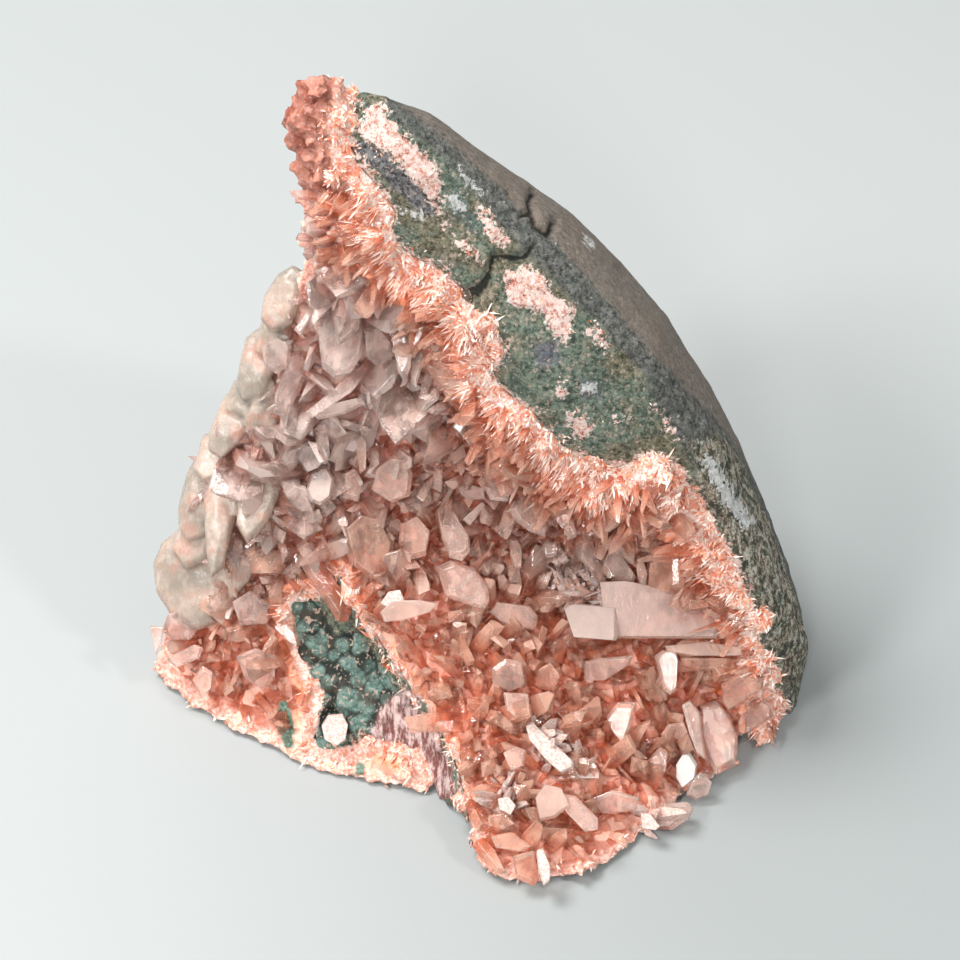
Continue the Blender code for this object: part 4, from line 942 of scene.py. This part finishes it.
def smoothed(grid, rounds):
    """The grid with its gaps filled from their neighbours, then evened out."""
    grid = grid.copy()
    for _ in range(60):
        gaps = np.isnan(grid)
        if not gaps.any():
            break
        known = np.where(gaps, 0, grid)
        weight = (~gaps).astype(float)
        total, count = around(known), around(weight)
        grid = np.where(gaps & (count > 0), total / np.maximum(count, 1), grid)
    grid = np.where(np.isnan(grid), np.nanmin(grid), grid)
    for _ in range(rounds):
        grid = around(grid) / 9
    return grid


def around(grid):
    """The sum of each place and its eight neighbours."""
    padded = np.pad(grid, 1, mode="edge")
    rows, columns = grid.shape
    return sum(padded[i:i + rows, j:j + columns] for i in range(3) for j in range(3))


def basalt():
    """The rock: an evenly meshed copy of the CAD solid, roughened by zone."""
    rock = remeshed(merged_copy("basalt_matrix", "basalt_rock"), ROCK_VOXEL)
    mesh = rock.data
    points, normals = points_of(mesh), normals_of(mesh)
    places, depths = drawn(points)
    facing = step_between(0.0, 0.35, normals @ NEAR)

    beyond = [(60, -20), (60, 80), (-16, 80)]
    skin = inside_by(places, [*SKIN_LINE, *beyond])
    bevel = inside_by(places, [*BEVEL_LINE, (60, -40), *beyond])
    skin = np.where(facing > 0.3, skin, 6.0)
    behind = ground.depth(places) - depths
    in_front = (facing > 0.2) & (behind < 9)

    def zone(values):
        return np.clip(np.where(in_front, values, -6.0), -6, 6)

    set_values(mesh, "skin", np.clip(skin, -6, 6))
    set_values(mesh, "bevel", np.clip(np.where(in_front, bevel, 6.0), -6, 6))
    set_values(mesh, "streaky", zone(inside_by(places, STREAKY_SKIN)))
    set_values(mesh, "sparkling", zone(inside_any(places, SPARKLING_PATCHES)))
    set_values(mesh, "marks", zone(inside_any(places, WHITE_MARKS)))
    set_values(mesh, "lens", zone(inside_by(places, GREY_LENS)))
    set_values(mesh, "teal", zone(inside_any(places, TEAL_SPOTS)))
    set_values(mesh, "violet", zone(inside_any(places, VIOLET_SPOTS)))
    set_values(mesh, "pocket", zone(inside_by(places, GREEN_POCKET)))
    set_values(mesh, "shelf", zone(inside_by(places, POCKET_SHELF)))
    crack = np.min([distance_from_line(places, line) for line in SKIN_CRACKS], axis=0)
    gap = distance_from_line(places, FACE_CRACK) - 0.7 * step_between(30.5, 27.5, places[:, 1])
    crack = np.maximum(np.minimum(crack, gap), 0)
    set_values(mesh, "crack", np.where(in_front, crack, 6.0))
    to_crust = ground.distance_to(ground.crusted, places)
    set_values(mesh, "rim", np.where(in_front, np.clip(to_crust, 0, 6), 6.0))

    on_skin = step_between(-1, 1, skin)
    coarse = roughness_at(points, 12.0, 2)
    medium = roughness_at(points, 2.4, 3)
    lift = coarse * (0.35 - 0.15 * on_skin) + medium * (0.30 - 0.2 * on_skin)
    lift += roughness_at(points, 7.0, 4) * 0.8 * step_between(0.0, -0.4, normals @ NEAR)
    lift += 0.25 * step_between(-0.2, 0.5, inside_any(places, SPARKLING_PATCHES)) * in_front
    lift -= 0.5 * step_between(-0.3, 0.6, inside_by(places, GREY_LENS)) * in_front
    lift -= 0.9 * step_between(0.9, 0.1, crack) * in_front
    pocket = step_between(-0.5, 0.5, inside_by(places, GREEN_POCKET)) * in_front
    lift += pocket * (0.9 - 1.5 * np.array([noise.voronoi(Vector(point / (2.2 * MM)))[0][0] for point in points]))
    flat_foot = step_between(0.0, 1.5, points[:, 2] / MM)
    points += normals * (lift * flat_foot * MM)[:, None]
    points[:, 2] = np.maximum(points[:, 2], 0.0)
    set_points(mesh, points)
    shaded_smooth(rock)
    mesh.materials.append(rock_finish())
    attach(rock, "root")
    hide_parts("basalt_matrix")
    return rock


def crust_bed():
    """The crust under the crystals: a slab over the grid, evenly meshed and roughened."""
    bm = bmesh.new()
    sheets = []
    for depths in (ground.under, ground.filled):
        sheet = {}
        for i, j in zip(*np.nonzero(ground.there)):
            sheet[i, j] = bm.verts.new(place(ground.us[i], ground.vs[j], depths[i, j]))
        for i, j in sheet:
            ring = [(i, j), (i + 1, j), (i + 1, j + 1), (i, j + 1)]
            if all(corner in sheet for corner in ring):
                bm.faces.new([sheet[corner] for corner in ring])
        sheets.append(sheet)
    under, above = sheets
    upper_of = {under[key]: above[key] for key in under}
    rim = [edge.verts[:] for edge in bm.edges if edge.is_boundary and edge.verts[0] in upper_of]
    for start, end in rim:
        bm.faces.new((start, end, upper_of[end], upper_of[start]))
    bmesh.ops.delete(bm, geom=[vert for vert in bm.verts if not vert.link_faces], context="VERTS")
    slab = remeshed(object_from(bm, "crust_slab"), CRUST_VOXEL)
    sheet = growing_sheet(slab)
    shapes = collection_of("knob_shapes", [knob_shape("knob", seed) for seed in range(4)])
    bm = bmesh.new()
    bm.from_mesh(slab.data)
    for where, spacing, least, greatest in (("knobs", 1.0, 1.4, 2.8), ("blades", 1.5, 1.8, 4.6)):
        lumps = grown_over(
            sheet, "lumps", where, shapes, None, 8, spacing=spacing * MM, density=1.2e6,
            least_length=least * MM, greatest_length=greatest * MM, least_width=0.7, greatest_width=1.3,
            upright=0.4, lean=0.6, follow=0.8 * (where == "blades"))
        bm.from_mesh(lumps.data)
        bpy.data.objects.remove(lumps)
    for spare in (slab, sheet):
        bpy.data.objects.remove(spare)
    forget(shapes)
    bed = remeshed(object_from_sheet(bm, "crust_bed"), CRUST_VOXEL)
    mesh = bed.data
    points, normals = points_of(mesh), normals_of(mesh)
    places, depths = drawn(points)
    rim_distance, _ = ground.from_rock(places)
    tip = tip_share(places)
    lumps = np.abs(roughness_at(points, 3.6, 3))
    fine = roughness_at(points, 1.2, 3)
    inward = step_between(5.0, 11.0, rim_distance) * (1 - tip)
    lift = lumps * (0.4 + 0.9 * inward + 1.6 * tip) - 0.1 - 0.9 * inward - 0.5 * tip + fine * 0.3
    points += normals * (lift * MM)[:, None]
    points[:, 2] = np.maximum(points[:, 2], FOOT * MM)
    set_points(mesh, points)
    set_values(mesh, "rim", rim_distance)
    set_values(mesh, "outer", ground.distance_to(ground.empty, places))
    set_values(mesh, "cool", coolness(places))
    set_values(mesh, "tip", tip * step_between(2.0, 4.0, rim_distance))
    set_values(mesh, "jade", np.clip(inside_any(places, GREEN_SPOTS), -6, 6))
    shaded_smooth(bed)
    mesh.materials.append(bed_finish())
    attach(bed, "root")
    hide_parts("crystal_crust")
    return bed


def coolness(places):
    """1 where the crystals are mauve and grey, in the upper left, down to 0 where they are orange."""
    u, v = places.T
    return step_between(-8, 30, v * 0.75 - u * 0.6 - 4)


def tip_share(places):
    """1 at the knobbly upper tip."""
    return step_between(46, 50, places[:, 1] - places[:, 0] * 0.25)


def growing_sheet(bed):
    """The bed's upper surface, with what the crystals need to know at each place."""
    bm = bmesh.new()
    bm.from_mesh(bed.data)
    near = Vector(NEAR)
    hidden = [face for face in bm.faces if face.normal.dot(near) < 0.1]
    bmesh.ops.delete(bm, geom=hidden, context="FACES")
    sheet = object_from_sheet(bm, "growing_sheet")
    mesh = sheet.data
    places, depths = drawn(points_of(mesh))
    on_top = (depths > ground.depth(places) - 3.0) * free_places(places)
    distances, away = ground.from_rock(places)
    flow = away[:, :1] * RIGHT + away[:, 1:] * UP
    cool = coolness(places)
    knobbly = tip_share(places)
    to_edge = ground.distance_to(ground.empty, places)
    ragged = distances + roughness_at(points_of(mesh), 6.0, 3) * 3.0
    druse = step_between(5.5, 8.0, ragged) * on_top * (1 - knobbly)
    low = step_between(-14, -24, places[:, 1])
    within = step_between(0.6, 2.2, to_edge)
    to_edge = to_edge - 2.2 * low
    inner = druse * step_between(2.2, 5.0, to_edge)
    set_values(mesh, "plates", inner * step_between(3.5, 7.0, to_edge) * step_between(0.35, 0.6, cool))
    set_values(mesh, "blocks", inner * step_between(0.7, 0.45, cool))
    set_values(mesh, "druse", druse * step_between(1.2, 2.6, to_edge) * (1 - 0.6 * np.maximum(step_between(0.3, 0.6, cool), low)))
    rim = np.maximum(step_between(6.5, 2.5, ragged), 0.4 * step_between(2.2, 0.8, to_edge) * (cool < 0.75))
    clumps = step_between(-0.05, 0.25, roughness_at(points_of(mesh), 2.8, 3) + 0.4 * (distances < 1.2))
    by_pocket = low * (places[:, 0] < -4)
    rim = rim * on_top * (1 - 0.7 * by_pocket) * (inside_any(places, GREEN_SPOTS) < -0.3)
    set_values(mesh, "fibres", rim * (0.04 + 0.96 * clumps))
    silk = step_between(-0.25, 0.1, roughness_at(points_of(mesh) + 0.02, 3.2, 3))
    silk = silk * step_between(0.3, 1.6, ragged) * step_between(6.6, 4.6, ragged)
    set_values(mesh, "silk", silk * on_top * within * (1 - knobbly) * (1 - 0.7 * by_pocket))
    beside = step_between(9.0, 7.0, ragged) * on_top * within * (1 - knobbly) * (1 - 0.85 * by_pocket)
    set_values(mesh, "blades", step_between(0.8, 2.6, ragged) * beside)
    set_values(mesh, "teeth", step_between(4.0, 5.4, ragged) * beside)
    set_values(mesh, "knobs", knobbly * step_between(1.5, 3.0, distances) * on_top)
    frosty = inside_any(places, FROSTY_CLUSTERS) + roughness_at(points_of(mesh), 2.0, 3)
    set_values(mesh, "frosty", step_between(-0.4, 0.3, frosty) * (depths > ground.depth(places) - 3.0))
    set_values(mesh, "flow", flow)
    set_values(mesh, "warm", np.maximum((0.55 + 0.35 * low) * (1 - cool), step_between(9.5, 6.5, ragged)))
    return sheet


def free_places(places):
    """1 where no listed crystal is placed, and 0 under one."""
    outlines = [crystal[0] for crystal in SMALLER_CRYSTALS]
    outlines += [facet[0] for facets in LARGE_CRYSTALS.values() for facet in facets]
    blades = [blade[0] for blade in CREAM_BLADES]
    return ((inside_any(places, outlines) < 0.3) & (inside_any(places, blades) < 1.1)).astype(float)


def rock_sheet(rock):
    """The part of the rock's broken face where sparkling grains grow."""
    bm = bmesh.new()
    bm.from_mesh(rock.data)
    near = Vector(NEAR)
    hidden = [face for face in bm.faces if face.normal.dot(near) < 0.2]
    bmesh.ops.delete(bm, geom=hidden, context="FACES")
    sheet = object_from_sheet(bm, "rock_sheet")
    mesh = sheet.data
    points = points_of(mesh)
    places, _ = drawn(points)
    patches = inside_any(places, SPARKLING_PATCHES) + roughness_at(points, 3.0, 4) * 2.4 - 0.5
    beside = ground.distance_to(ground.crusted, places) + roughness_at(points, 2.0, 3) * 1.6
    beside += 9.0 * (places[:, 1] < -12)
    bare_skin = inside_by(places, [*BEVEL_LINE, (60, -40), (60, -20), (60, 80), (-16, 80)]) > 0
    crumbs = np.maximum(step_between(-0.2, 0.3, patches), step_between(1.6, 0.9, beside) * ~bare_skin)
    set_values(mesh, "fibres", crumbs * 0.5 * step_between(-0.2, 0.2, roughness_at(points, 1.3, 3)))
    set_values(mesh, "flow", np.tile(RIGHT, (len(points), 1)))
    set_values(mesh, "warm", np.full(len(points), 0.7))
    return sheet


def object_from_sheet(bm, name):
    mesh = bpy.data.meshes.new(name)
    bm.to_mesh(mesh)
    bm.free()
    return new_object(name, mesh)


def crystal_shape(name, thickness, cuts, seed, taper=0.88, paleness=1.0, pale_highlight_edges=True):
    """A crystal 1 long and 1 wide along Z: a block with a slanting end and a few corners cut off."""
    chance = random.Random(seed)
    bm = bmesh.new()
    slant = (chance.uniform(-0.25, 0.25), chance.uniform(-0.25, 0.25))
    for level, size in ((-0.15, 0.85), (0.4, 1.0), (1.0, taper)):
        for x, y in ((-0.5, -0.5), (0.5, -0.5), (0.5, 0.5), (-0.5, 0.5)):
            rise = (x * slant[0] + y * slant[1]) * (level == 1.0)
            bm.verts.new((x * size, y * size * thickness, level + rise))
    hull(bm)
    for k in range(cuts):
        heading = math.radians(45 + 90 * (k + seed)) + chance.uniform(-0.25, 0.25)
        across, through = math.cos(heading), math.sin(heading)
        reach = chance.uniform(0.28, 0.5)
        spot = Vector((across * reach, through * reach * thickness, chance.uniform(0.7, 0.92)))
        facet = Vector((across, through / thickness, chance.choice((0.0, 0.5, 0.9, 1.4))))
        every = bm.verts[:] + bm.edges[:] + bm.faces[:]
        bmesh.ops.bisect_plane(bm, geom=every, plane_co=spot, plane_no=facet, clear_outer=True)
        hull(bm)
    if pale_highlight_edges:
        bevel_with_pale_highlight_edges(bm, 0.028)
    obj = object_from(bm, name)
    set_values(obj.data, "along", np.clip(points_of(obj.data)[:, 2], 0, 1) * paleness)
    return obj


def fibre_shape(name, seed):
    """A slim three-sided splinter 1 long and 1 wide along Z."""
    chance = random.Random(seed)
    bm = bmesh.new()
    for level, size in ((-0.1, 0.5), (0.45, 0.5)):
        for k in range(3):
            angle = math.radians(120 * k + chance.uniform(-20, 20))
            bm.verts.new((math.cos(angle) * size, math.sin(angle) * size, level))
    bm.verts.new((chance.uniform(-0.3, 0.3), chance.uniform(-0.3, 0.3), 1.0))
    hull(bm)
    fibre = object_from(bm, name)
    set_values(fibre.data, "along", np.clip(points_of(fibre.data)[:, 2], 0, 1))
    return fibre


def knob_shape(name, seed):
    """A rounded knob 1 wide and 1 tall, with its foot at the origin."""
    bm = bmesh.new()
    bmesh.ops.create_icosphere(bm, subdivisions=2, radius=0.5)
    for vert in bm.verts:
        swell = 1 + 0.7 * noise.noise(vert.co * 2.8 + Vector((seed * 3.1, 0, 0)))
        vert.co = vert.co * swell + Vector((0, 0, 0.2))
    knob = object_from(bm, name)
    shaded_smooth(knob)
    return knob


def bevel_with_pale_highlight_edges(bm, width):
    """Bevels every edge, and marks the narrow new faces as pale edges, partly the crystal's own and partly painted
    highlight.
    """
    bmesh.ops.dissolve_limit(bm, angle_limit=math.radians(7), verts=bm.verts, edges=bm.edges)
    layer = bm.faces.layers.float.new("edge")
    settings = {"offset": width, "segments": 1, "profile": 0.5, "affect": "EDGES", "clamp_overlap": True}
    made = bmesh.ops.bevel(bm, geom=bm.edges[:], **settings)
    for face in made["faces"]:
        face[layer] = 1.0


def hull(bm):
    """Closes the points into one shape with flat faces."""
    bmesh.ops.delete(bm, geom=bm.faces[:] + bm.edges[:], context="EDGES_FACES")
    corners = [vert.co.copy() for vert in bm.verts]
    bmesh.ops.delete(bm, geom=bm.verts[:], context="VERTS")
    for corner in corners:
        bm.verts.new(corner)
    bmesh.ops.remove_doubles(bm, verts=bm.verts, dist=1e-4)
    made = bmesh.ops.convex_hull(bm, input=bm.verts)
    loose = [item for item in made["geom_interior"] if isinstance(item, bmesh.types.BMVert)]
    bmesh.ops.delete(bm, geom=loose, context="VERTS")


class Growth(Tree):
    """The Geometry Nodes that grow shapes over a sheet. Its sizes are inputs with names."""

    SIZES = {
        "Spacing": 1.0 * MM, "Density": 1e6, "Least length": 1.0 * MM, "Greatest length": 2.0 * MM,
        "Least width": 0.3, "Greatest width": 0.6, "Upright": 1.0, "Lean": 1.0, "Follow": 0.0,
        "Least frost": 0.0, "Greatest frost": 0.82,
    }

    def __init__(self, name, where):
        super().__init__(bpy.data.node_groups.new(name, "GeometryNodeTree"))
        sockets = self.tree.interface
        sockets.new_socket("Sheet", in_out="INPUT", socket_type="NodeSocketGeometry")
        for size, value in self.SIZES.items():
            socket = sockets.new_socket(size, in_out="INPUT", socket_type="NodeSocketFloat")
            socket.default_value = value
        sockets.new_socket("Seed", in_out="INPUT", socket_type="NodeSocketInt")
        sockets.new_socket("Shapes", in_out="INPUT", socket_type="NodeSocketCollection")
        sockets.new_socket("Finish", in_out="INPUT", socket_type="NodeSocketMaterial")
        sockets.new_socket("Crystals", in_out="OUTPUT", socket_type="NodeSocketGeometry")
        self.given = self.node("NodeGroupInput")
        self.build(where)

    def chance(self, low, high, number, kind="FLOAT"):
        """A random value for each point, with a fixed number that keeps it apart from the others."""
        values = {"Min": low, "Max": high, "Seed": self.given["Seed"] * 16 + number}
        return self.node("FunctionNodeRandomValue", {"data_type": kind}, values)["Value"]

    def named(self, name, kind="FLOAT"):
        return self.node("GeometryNodeInputNamedAttribute", {"data_type": kind}, {"Name": name})["Attribute"]

    def build(self, where):
        given = self.given
        spread = self.node("GeometryNodeDistributePointsOnFaces", {"distribute_method": "POISSON"}, {
            "Mesh": given["Sheet"], "Distance Min": given["Spacing"], "Density Max": given["Density"],
            "Density Factor": self.named(where), "Seed": given["Seed"]})
        upright = self.vector_math("SCALE", spread["Normal"], given["Upright"])
        wander = self.chance((-1, -1, -1), (1, 1, 1), 1, "FLOAT_VECTOR")
        wander = self.vector_math("SCALE", self.vector_math("NORMALIZE", wander, (0, 0, 0)), given["Lean"])
        follow = self.vector_math("SCALE", self.named("flow", "FLOAT_VECTOR"), given["Follow"])
        heading = self.vector_math("ADD", self.vector_math("ADD", upright, wander), follow)
        turned = self.node("FunctionNodeAlignRotationToVector", {"axis": "Z"}, {"Vector": heading})
        spin = self.node("FunctionNodeAxisAngleToRotation", None, {
            "Axis": (0, 0, 1), "Angle": self.chance(0.0, math.pi * 2, 2)})
        turned = self.node("FunctionNodeRotateRotation", {"rotation_space": "LOCAL"}, {
            "Rotation": turned["Rotation"], "Rotate By": spin["Rotation"]})
        length = self.chance(0.0, 1.0, 3) ** 1.6
        length = given["Least length"] + (given["Greatest length"] - given["Least length"]) * length
        width = length * self.chance(given["Least width"], given["Greatest width"], 4)
        size = self.node("ShaderNodeCombineXYZ", None, {"X": width, "Y": width, "Z": length})
        shapes = self.node("GeometryNodeCollectionInfo", None, {
            "Collection": given["Shapes"], "Separate Children": True, "Reset Children": True})
        grown = self.node("GeometryNodeInstanceOnPoints", None, {
            "Points": spread["Points"], "Instance": shapes["Instances"], "Pick Instance": True,
            "Instance Index": self.chance(0, 99, 5, "INT"),
            "Rotation": turned["Rotation"], "Scale": size["Vector"]})
        tinted = self.node("GeometryNodeStoreNamedAttribute", {"data_type": "FLOAT", "domain": "INSTANCE"}, {
            "Geometry": grown["Instances"], "Name": "tint",
            "Value": self.chance(given["Least frost"], given["Greatest frost"], 6)})
        real = self.node("GeometryNodeRealizeInstances", None, {"Geometry": tinted["Geometry"]})
        done = self.node("GeometryNodeSetMaterial", None, {
            "Geometry": real["Geometry"], "Material": given["Finish"]})
        self.node("NodeGroupOutput", None, {"Crystals": done["Geometry"]})


def grown_over(sheet, name, where, shapes, material, seed, **sizes):
    """Grows shapes over a sheet by Geometry Nodes, and returns them as one plain mesh."""
    tree = Growth(name, where).tree
    modifier = sheet.modifiers.new(name, "NODES")
    modifier.node_group = tree
    given = {size.replace("_", " ").capitalize(): value for size, value in sizes.items()}
    given |= {"Seed": seed, "Shapes": shapes, "Finish": material}
    for socket in tree.interface.items_tree:
        if socket.in_out == "INPUT" and given.get(socket.name) is not None:
            modifier[socket.identifier] = given[socket.name]
    graph = bpy.context.evaluated_depsgraph_get()
    mesh = bpy.data.meshes.new_from_object(sheet.evaluated_get(graph))
    mesh.name = name
    sheet.modifiers.clear()
    bpy.data.node_groups.remove(tree)
    points = points_of(mesh)
    points[:, 2] = np.maximum(points[:, 2], FOOT * MM)
    set_points(mesh, points)
    grown = new_object(name, mesh)
    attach(grown, "root")
    return grown


def collection_of(name, shapes):
    """A collection of the shapes, which stay out of the scene."""
    collection = bpy.data.collections.new(name)
    for shape in shapes:
        bpy.context.scene.collection.objects.unlink(shape)
        collection.objects.link(shape)
    return collection


def forget(collection):
    """Removes a collection with its shapes."""
    for shape in list(collection.objects):
        bpy.data.objects.remove(shape)
    bpy.data.collections.remove(collection)


def facet_crystal(outline, stand, thickness, rise, warm, frost):
    """A crystal behind a flat face that has this outline on the drawing plane."""
    corners = np.array(outline, float)
    middle = corners.mean(axis=0)
    reach = np.abs(corners - middle).max(axis=0)
    chance = random.Random(round(abs(middle[0] * 7 + middle[1] * 13), 3))
    shift = reach * (chance.uniform(-0.16, 0.16), chance.uniform(-0.16, 0.16))
    inset = 0.96 if frost >= 0.8 else chance.uniform(0.78, 0.9)
    depth = ground.depth(middle)[0] + stand + 0.7
    bm = bmesh.new()
    for share, move, behind in ((inset, 1, 0.0), (1.0, 0, 0.3 * thickness), (0.8, 0, thickness)):
        for corner in corners:
            away = (corner - middle) * share + shift * move
            bm.verts.new(place(*(middle + away), depth + away @ np.array(rise) - behind))
    hull(bm)
    bevel_with_pale_highlight_edges(bm, 0.08 * MM)
    crystal = object_from(bm, "crystal")
    points = points_of(crystal.data)
    points[:, 2] = np.maximum(points[:, 2], FOOT * MM)
    set_points(crystal.data, points)
    places, depths = drawn(points)
    above = depths - ground.depth(places)
    set_values(crystal.data, "along", np.clip(above / 3.2, 0, 1))
    set_values(crystal.data, "warm", warm * 0.8 + 0.25 * (1 - coolness(places)))
    # The tint carries the frost; near 1 it whitens the face, a painted glint on the bright facets.
    set_values(crystal.data, "tint", np.full(len(points), frost if rise == GLINT else frost * 0.88))
    return crystal


def joined_crystals(name, facets, material):
    """Several overlapping crystals as one piece."""
    bm = bmesh.new()
    for facet in facets:
        crystal = facet_crystal(*facet)
        bm.from_mesh(crystal.data)
        bpy.data.objects.remove(crystal)
    joined = object_from_sheet(bm, name)
    joined.data.materials.append(material)
    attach(joined, "root")
    return joined


def placed_crystals(material):
    """The crystals that are placed one by one: one piece for each large one, and one for the others."""
    for node, facets in LARGE_CRYSTALS.items():
        crystal = joined_crystals(node.replace("_crystal", "") + "_clear", facets, material)
        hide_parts(node)
    joined_crystals("smaller_crystals", SMALLER_CRYSTALS, material)


def cream_blades():
    """The rounded cream blades, each a plate with a soft ridge, grown together."""
    bm = bmesh.new()
    for number, (outline, stand, rise) in enumerate(CREAM_BLADES):
        corners = np.array(outline, float)
        middle = corners.mean(axis=0)
        depth = ground.depth(middle)[0] + stand
        shift = (corners[number % len(corners)] - middle) * 0.25
        blade = bmesh.new()
        for share, move, behind in ((0.78, 1, 0.0), (1.04, 0, 1.0), (1.12, 0, 2.4), (0.9, 0, BLADE_THICKNESS)):
            for corner in corners:
                away = (corner - middle) * share + shift * move
                blade.verts.new(place(*(middle + away), depth + away @ np.array(rise) - behind))
        hull(blade)
        piece = object_from(blade, "blade")
        bm.from_mesh(piece.data)
        bpy.data.objects.remove(piece)
    blades = remeshed(object_from(bm, "cream_blade_cluster"), BLADE_VOXEL, 2)
    mesh = blades.data
    points, normals = points_of(mesh), normals_of(mesh)
    uneven = roughness_at(points, 5.0, 2) * 0.2 + roughness_at(points, 1.8, 2) * 0.08
    points += normals * (uneven * MM)[:, None]
    points[:, 2] = np.maximum(points[:, 2], FOOT * MM)
    set_points(mesh, points)
    shaded_smooth(blades)
    mesh.materials.append(cream_finish())
    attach(blades, "root")
    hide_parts("cream_blades")


def studio():
    """The pale floor, the soft lights and the camera at the photograph's angle."""
    bm = bmesh.new()
    bmesh.ops.create_grid(bm, x_segments=1, y_segments=1, size=4.0)
    floor = object_from_sheet(bm, "floor")
    floor.data.materials.append(floor_finish())

    scene = bpy.context.scene
    world = bpy.data.worlds.new("studio_air")
    world.use_nodes = True
    background = world.node_tree.nodes["Background"]
    background.inputs["Color"].default_value = colour(236, 240, 242)
    background.inputs["Strength"].default_value = 0.54
    scene.world = world
    middle = Vector((0, 0, 0.04))
    for name, spot, size, power in (
        ("key_softbox", (-0.48, 0.10, 1.0), 0.45, 14.0),
        ("left_softbox", (-0.62, -0.62, 0.85), 0.22, 7.2),
        ("right_softbox", (0.66, -0.50, 0.80), 0.12, 3.4),
        ("front_softbox", (-0.12, -1.0, 0.72), 0.14, 5.0),
    ):
        lamp = bpy.data.lights.new(name, "AREA")
        lamp.energy = power
        lamp.size = size
        obj = bpy.data.objects.new(name, lamp)
        scene.collection.objects.link(obj)
        obj.location = spot
        obj.rotation_euler = (Vector(spot) - middle).to_track_quat("Z", "Y").to_euler()

    camera = bpy.data.cameras.new("camera")
    camera.lens = 135
    camera.sensor_width = 36
    obj = bpy.data.objects.new("camera", camera)
    scene.collection.objects.link(obj)
    obj.location = ground.viewer
    obj.rotation_euler = Vector(NEAR).to_track_quat("Z", "Y").to_euler()
    scene.camera = obj
    scene.view_settings.view_transform = "Standard"


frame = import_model()
ground = Ground()

rock = basalt()
bed = crust_bed()
sheet = growing_sheet(bed)

rock_crumbs = rock_sheet(rock)

blocks = collection_of("block_shapes", [
    crystal_shape("block", thickness, cuts, seed)
    for seed, (thickness, cuts) in enumerate([(0.75, 2), (0.5, 3), (0.9, 3), (0.35, 2), (0.6, 4), (0.45, 3)])
])
plates = collection_of("plate_shapes", [
    crystal_shape("plate", thickness, cuts, 10 + seed)
    for seed, (thickness, cuts) in enumerate([(0.3, 3), (0.4, 4), (0.55, 3), (0.3, 2)])
])
fibres = collection_of("fibre_shapes", [fibre_shape("fibre", seed) for seed in range(4)])
splinters = collection_of("splinter_shapes", [
    crystal_shape("splinter", thickness, 1, 40 + seed, taper=0.5)
    for seed, thickness in enumerate([0.5, 0.8, 0.35])
])
stubs = collection_of("stub_shapes", [
    crystal_shape("stub", thickness, 2, 30 + seed, paleness=0.6)
    for seed, thickness in enumerate([0.75, 0.5, 0.9, 0.6])
])

clear = crystal_finish()
silky = fibre_finish()
crystals = {
    "large_plates": grown_over(
        sheet, "large_plates", "plates", plates, clear, 2, spacing=2.3 * MM, density=4e5,
        least_length=4.0 * MM, greatest_length=8.5 * MM, least_width=0.5, greatest_width=0.85, lean=1.1),
    "druse_crystals": grown_over(
        sheet, "druse_crystals", "blocks", blocks, clear, 3, spacing=1.9 * MM, density=5e5,
        least_length=3.2 * MM, greatest_length=6.8 * MM, least_width=0.34, greatest_width=0.62, lean=1.3),
    "small_druse_crystals": grown_over(
        sheet, "small_druse_crystals", "druse", stubs, clear, 5, spacing=1.2 * MM, density=1.0e6,
        least_length=1.8 * MM, greatest_length=4.4 * MM, least_width=0.28, greatest_width=0.55, lean=1.0),
    "frosty_splinters": grown_over(
        sheet, "frosty_splinters", "frosty", splinters, clear, 12, spacing=0.7 * MM, density=3.0e6,
        least_length=2.0 * MM, greatest_length=5.4 * MM, least_width=0.24, greatest_width=0.5, lean=0.8,
        least_frost=0.9, greatest_frost=0.97),
    "rim_blades": grown_over(
        sheet, "rim_blades", "blades", splinters, clear, 6, spacing=1.6 * MM, density=4e5,
        least_length=2.2 * MM, greatest_length=5.0 * MM, least_width=0.22, greatest_width=0.45,
        upright=0.35, lean=0.6, follow=0.9),
    "rim_teeth": grown_over(
        sheet, "rim_teeth", "teeth", stubs, clear, 7, spacing=1.8 * MM, density=6e5,
        least_length=1.8 * MM, greatest_length=5.0 * MM, least_width=0.4, greatest_width=0.7,
        upright=0.5, lean=0.9, follow=0.8),
    "rim_silk": grown_over(
        sheet, "rim_silk", "silk", fibres, silky, 10, spacing=0.3 * MM, density=9e6,
        least_length=0.7 * MM, greatest_length=2.4 * MM, least_width=0.1, greatest_width=0.2,
        upright=0.16, lean=0.4, follow=1.0),
    "rim_fibres": grown_over(
        sheet, "rim_fibres", "fibres", fibres, silky, 9, spacing=0.34 * MM, density=1.1e7,
        least_length=0.4 * MM, greatest_length=1.2 * MM, least_width=0.28, greatest_width=0.5,
        upright=0.5, lean=0.9, follow=0.5),
    "face_fibres": grown_over(
        rock_crumbs, "face_fibres", "fibres", fibres, silky, 11, spacing=0.34 * MM, density=1.1e7,
        least_length=0.3 * MM, greatest_length=0.75 * MM, least_width=0.3, greatest_width=0.55,
        upright=0.5, lean=0.9),
}
for spare in (sheet, rock_crumbs):
    bpy.data.objects.remove(spare)

placed_crystals(clear)
cream_blades()
for collection in (blocks, plates, splinters, stubs, fibres):
    forget(collection)

studio()
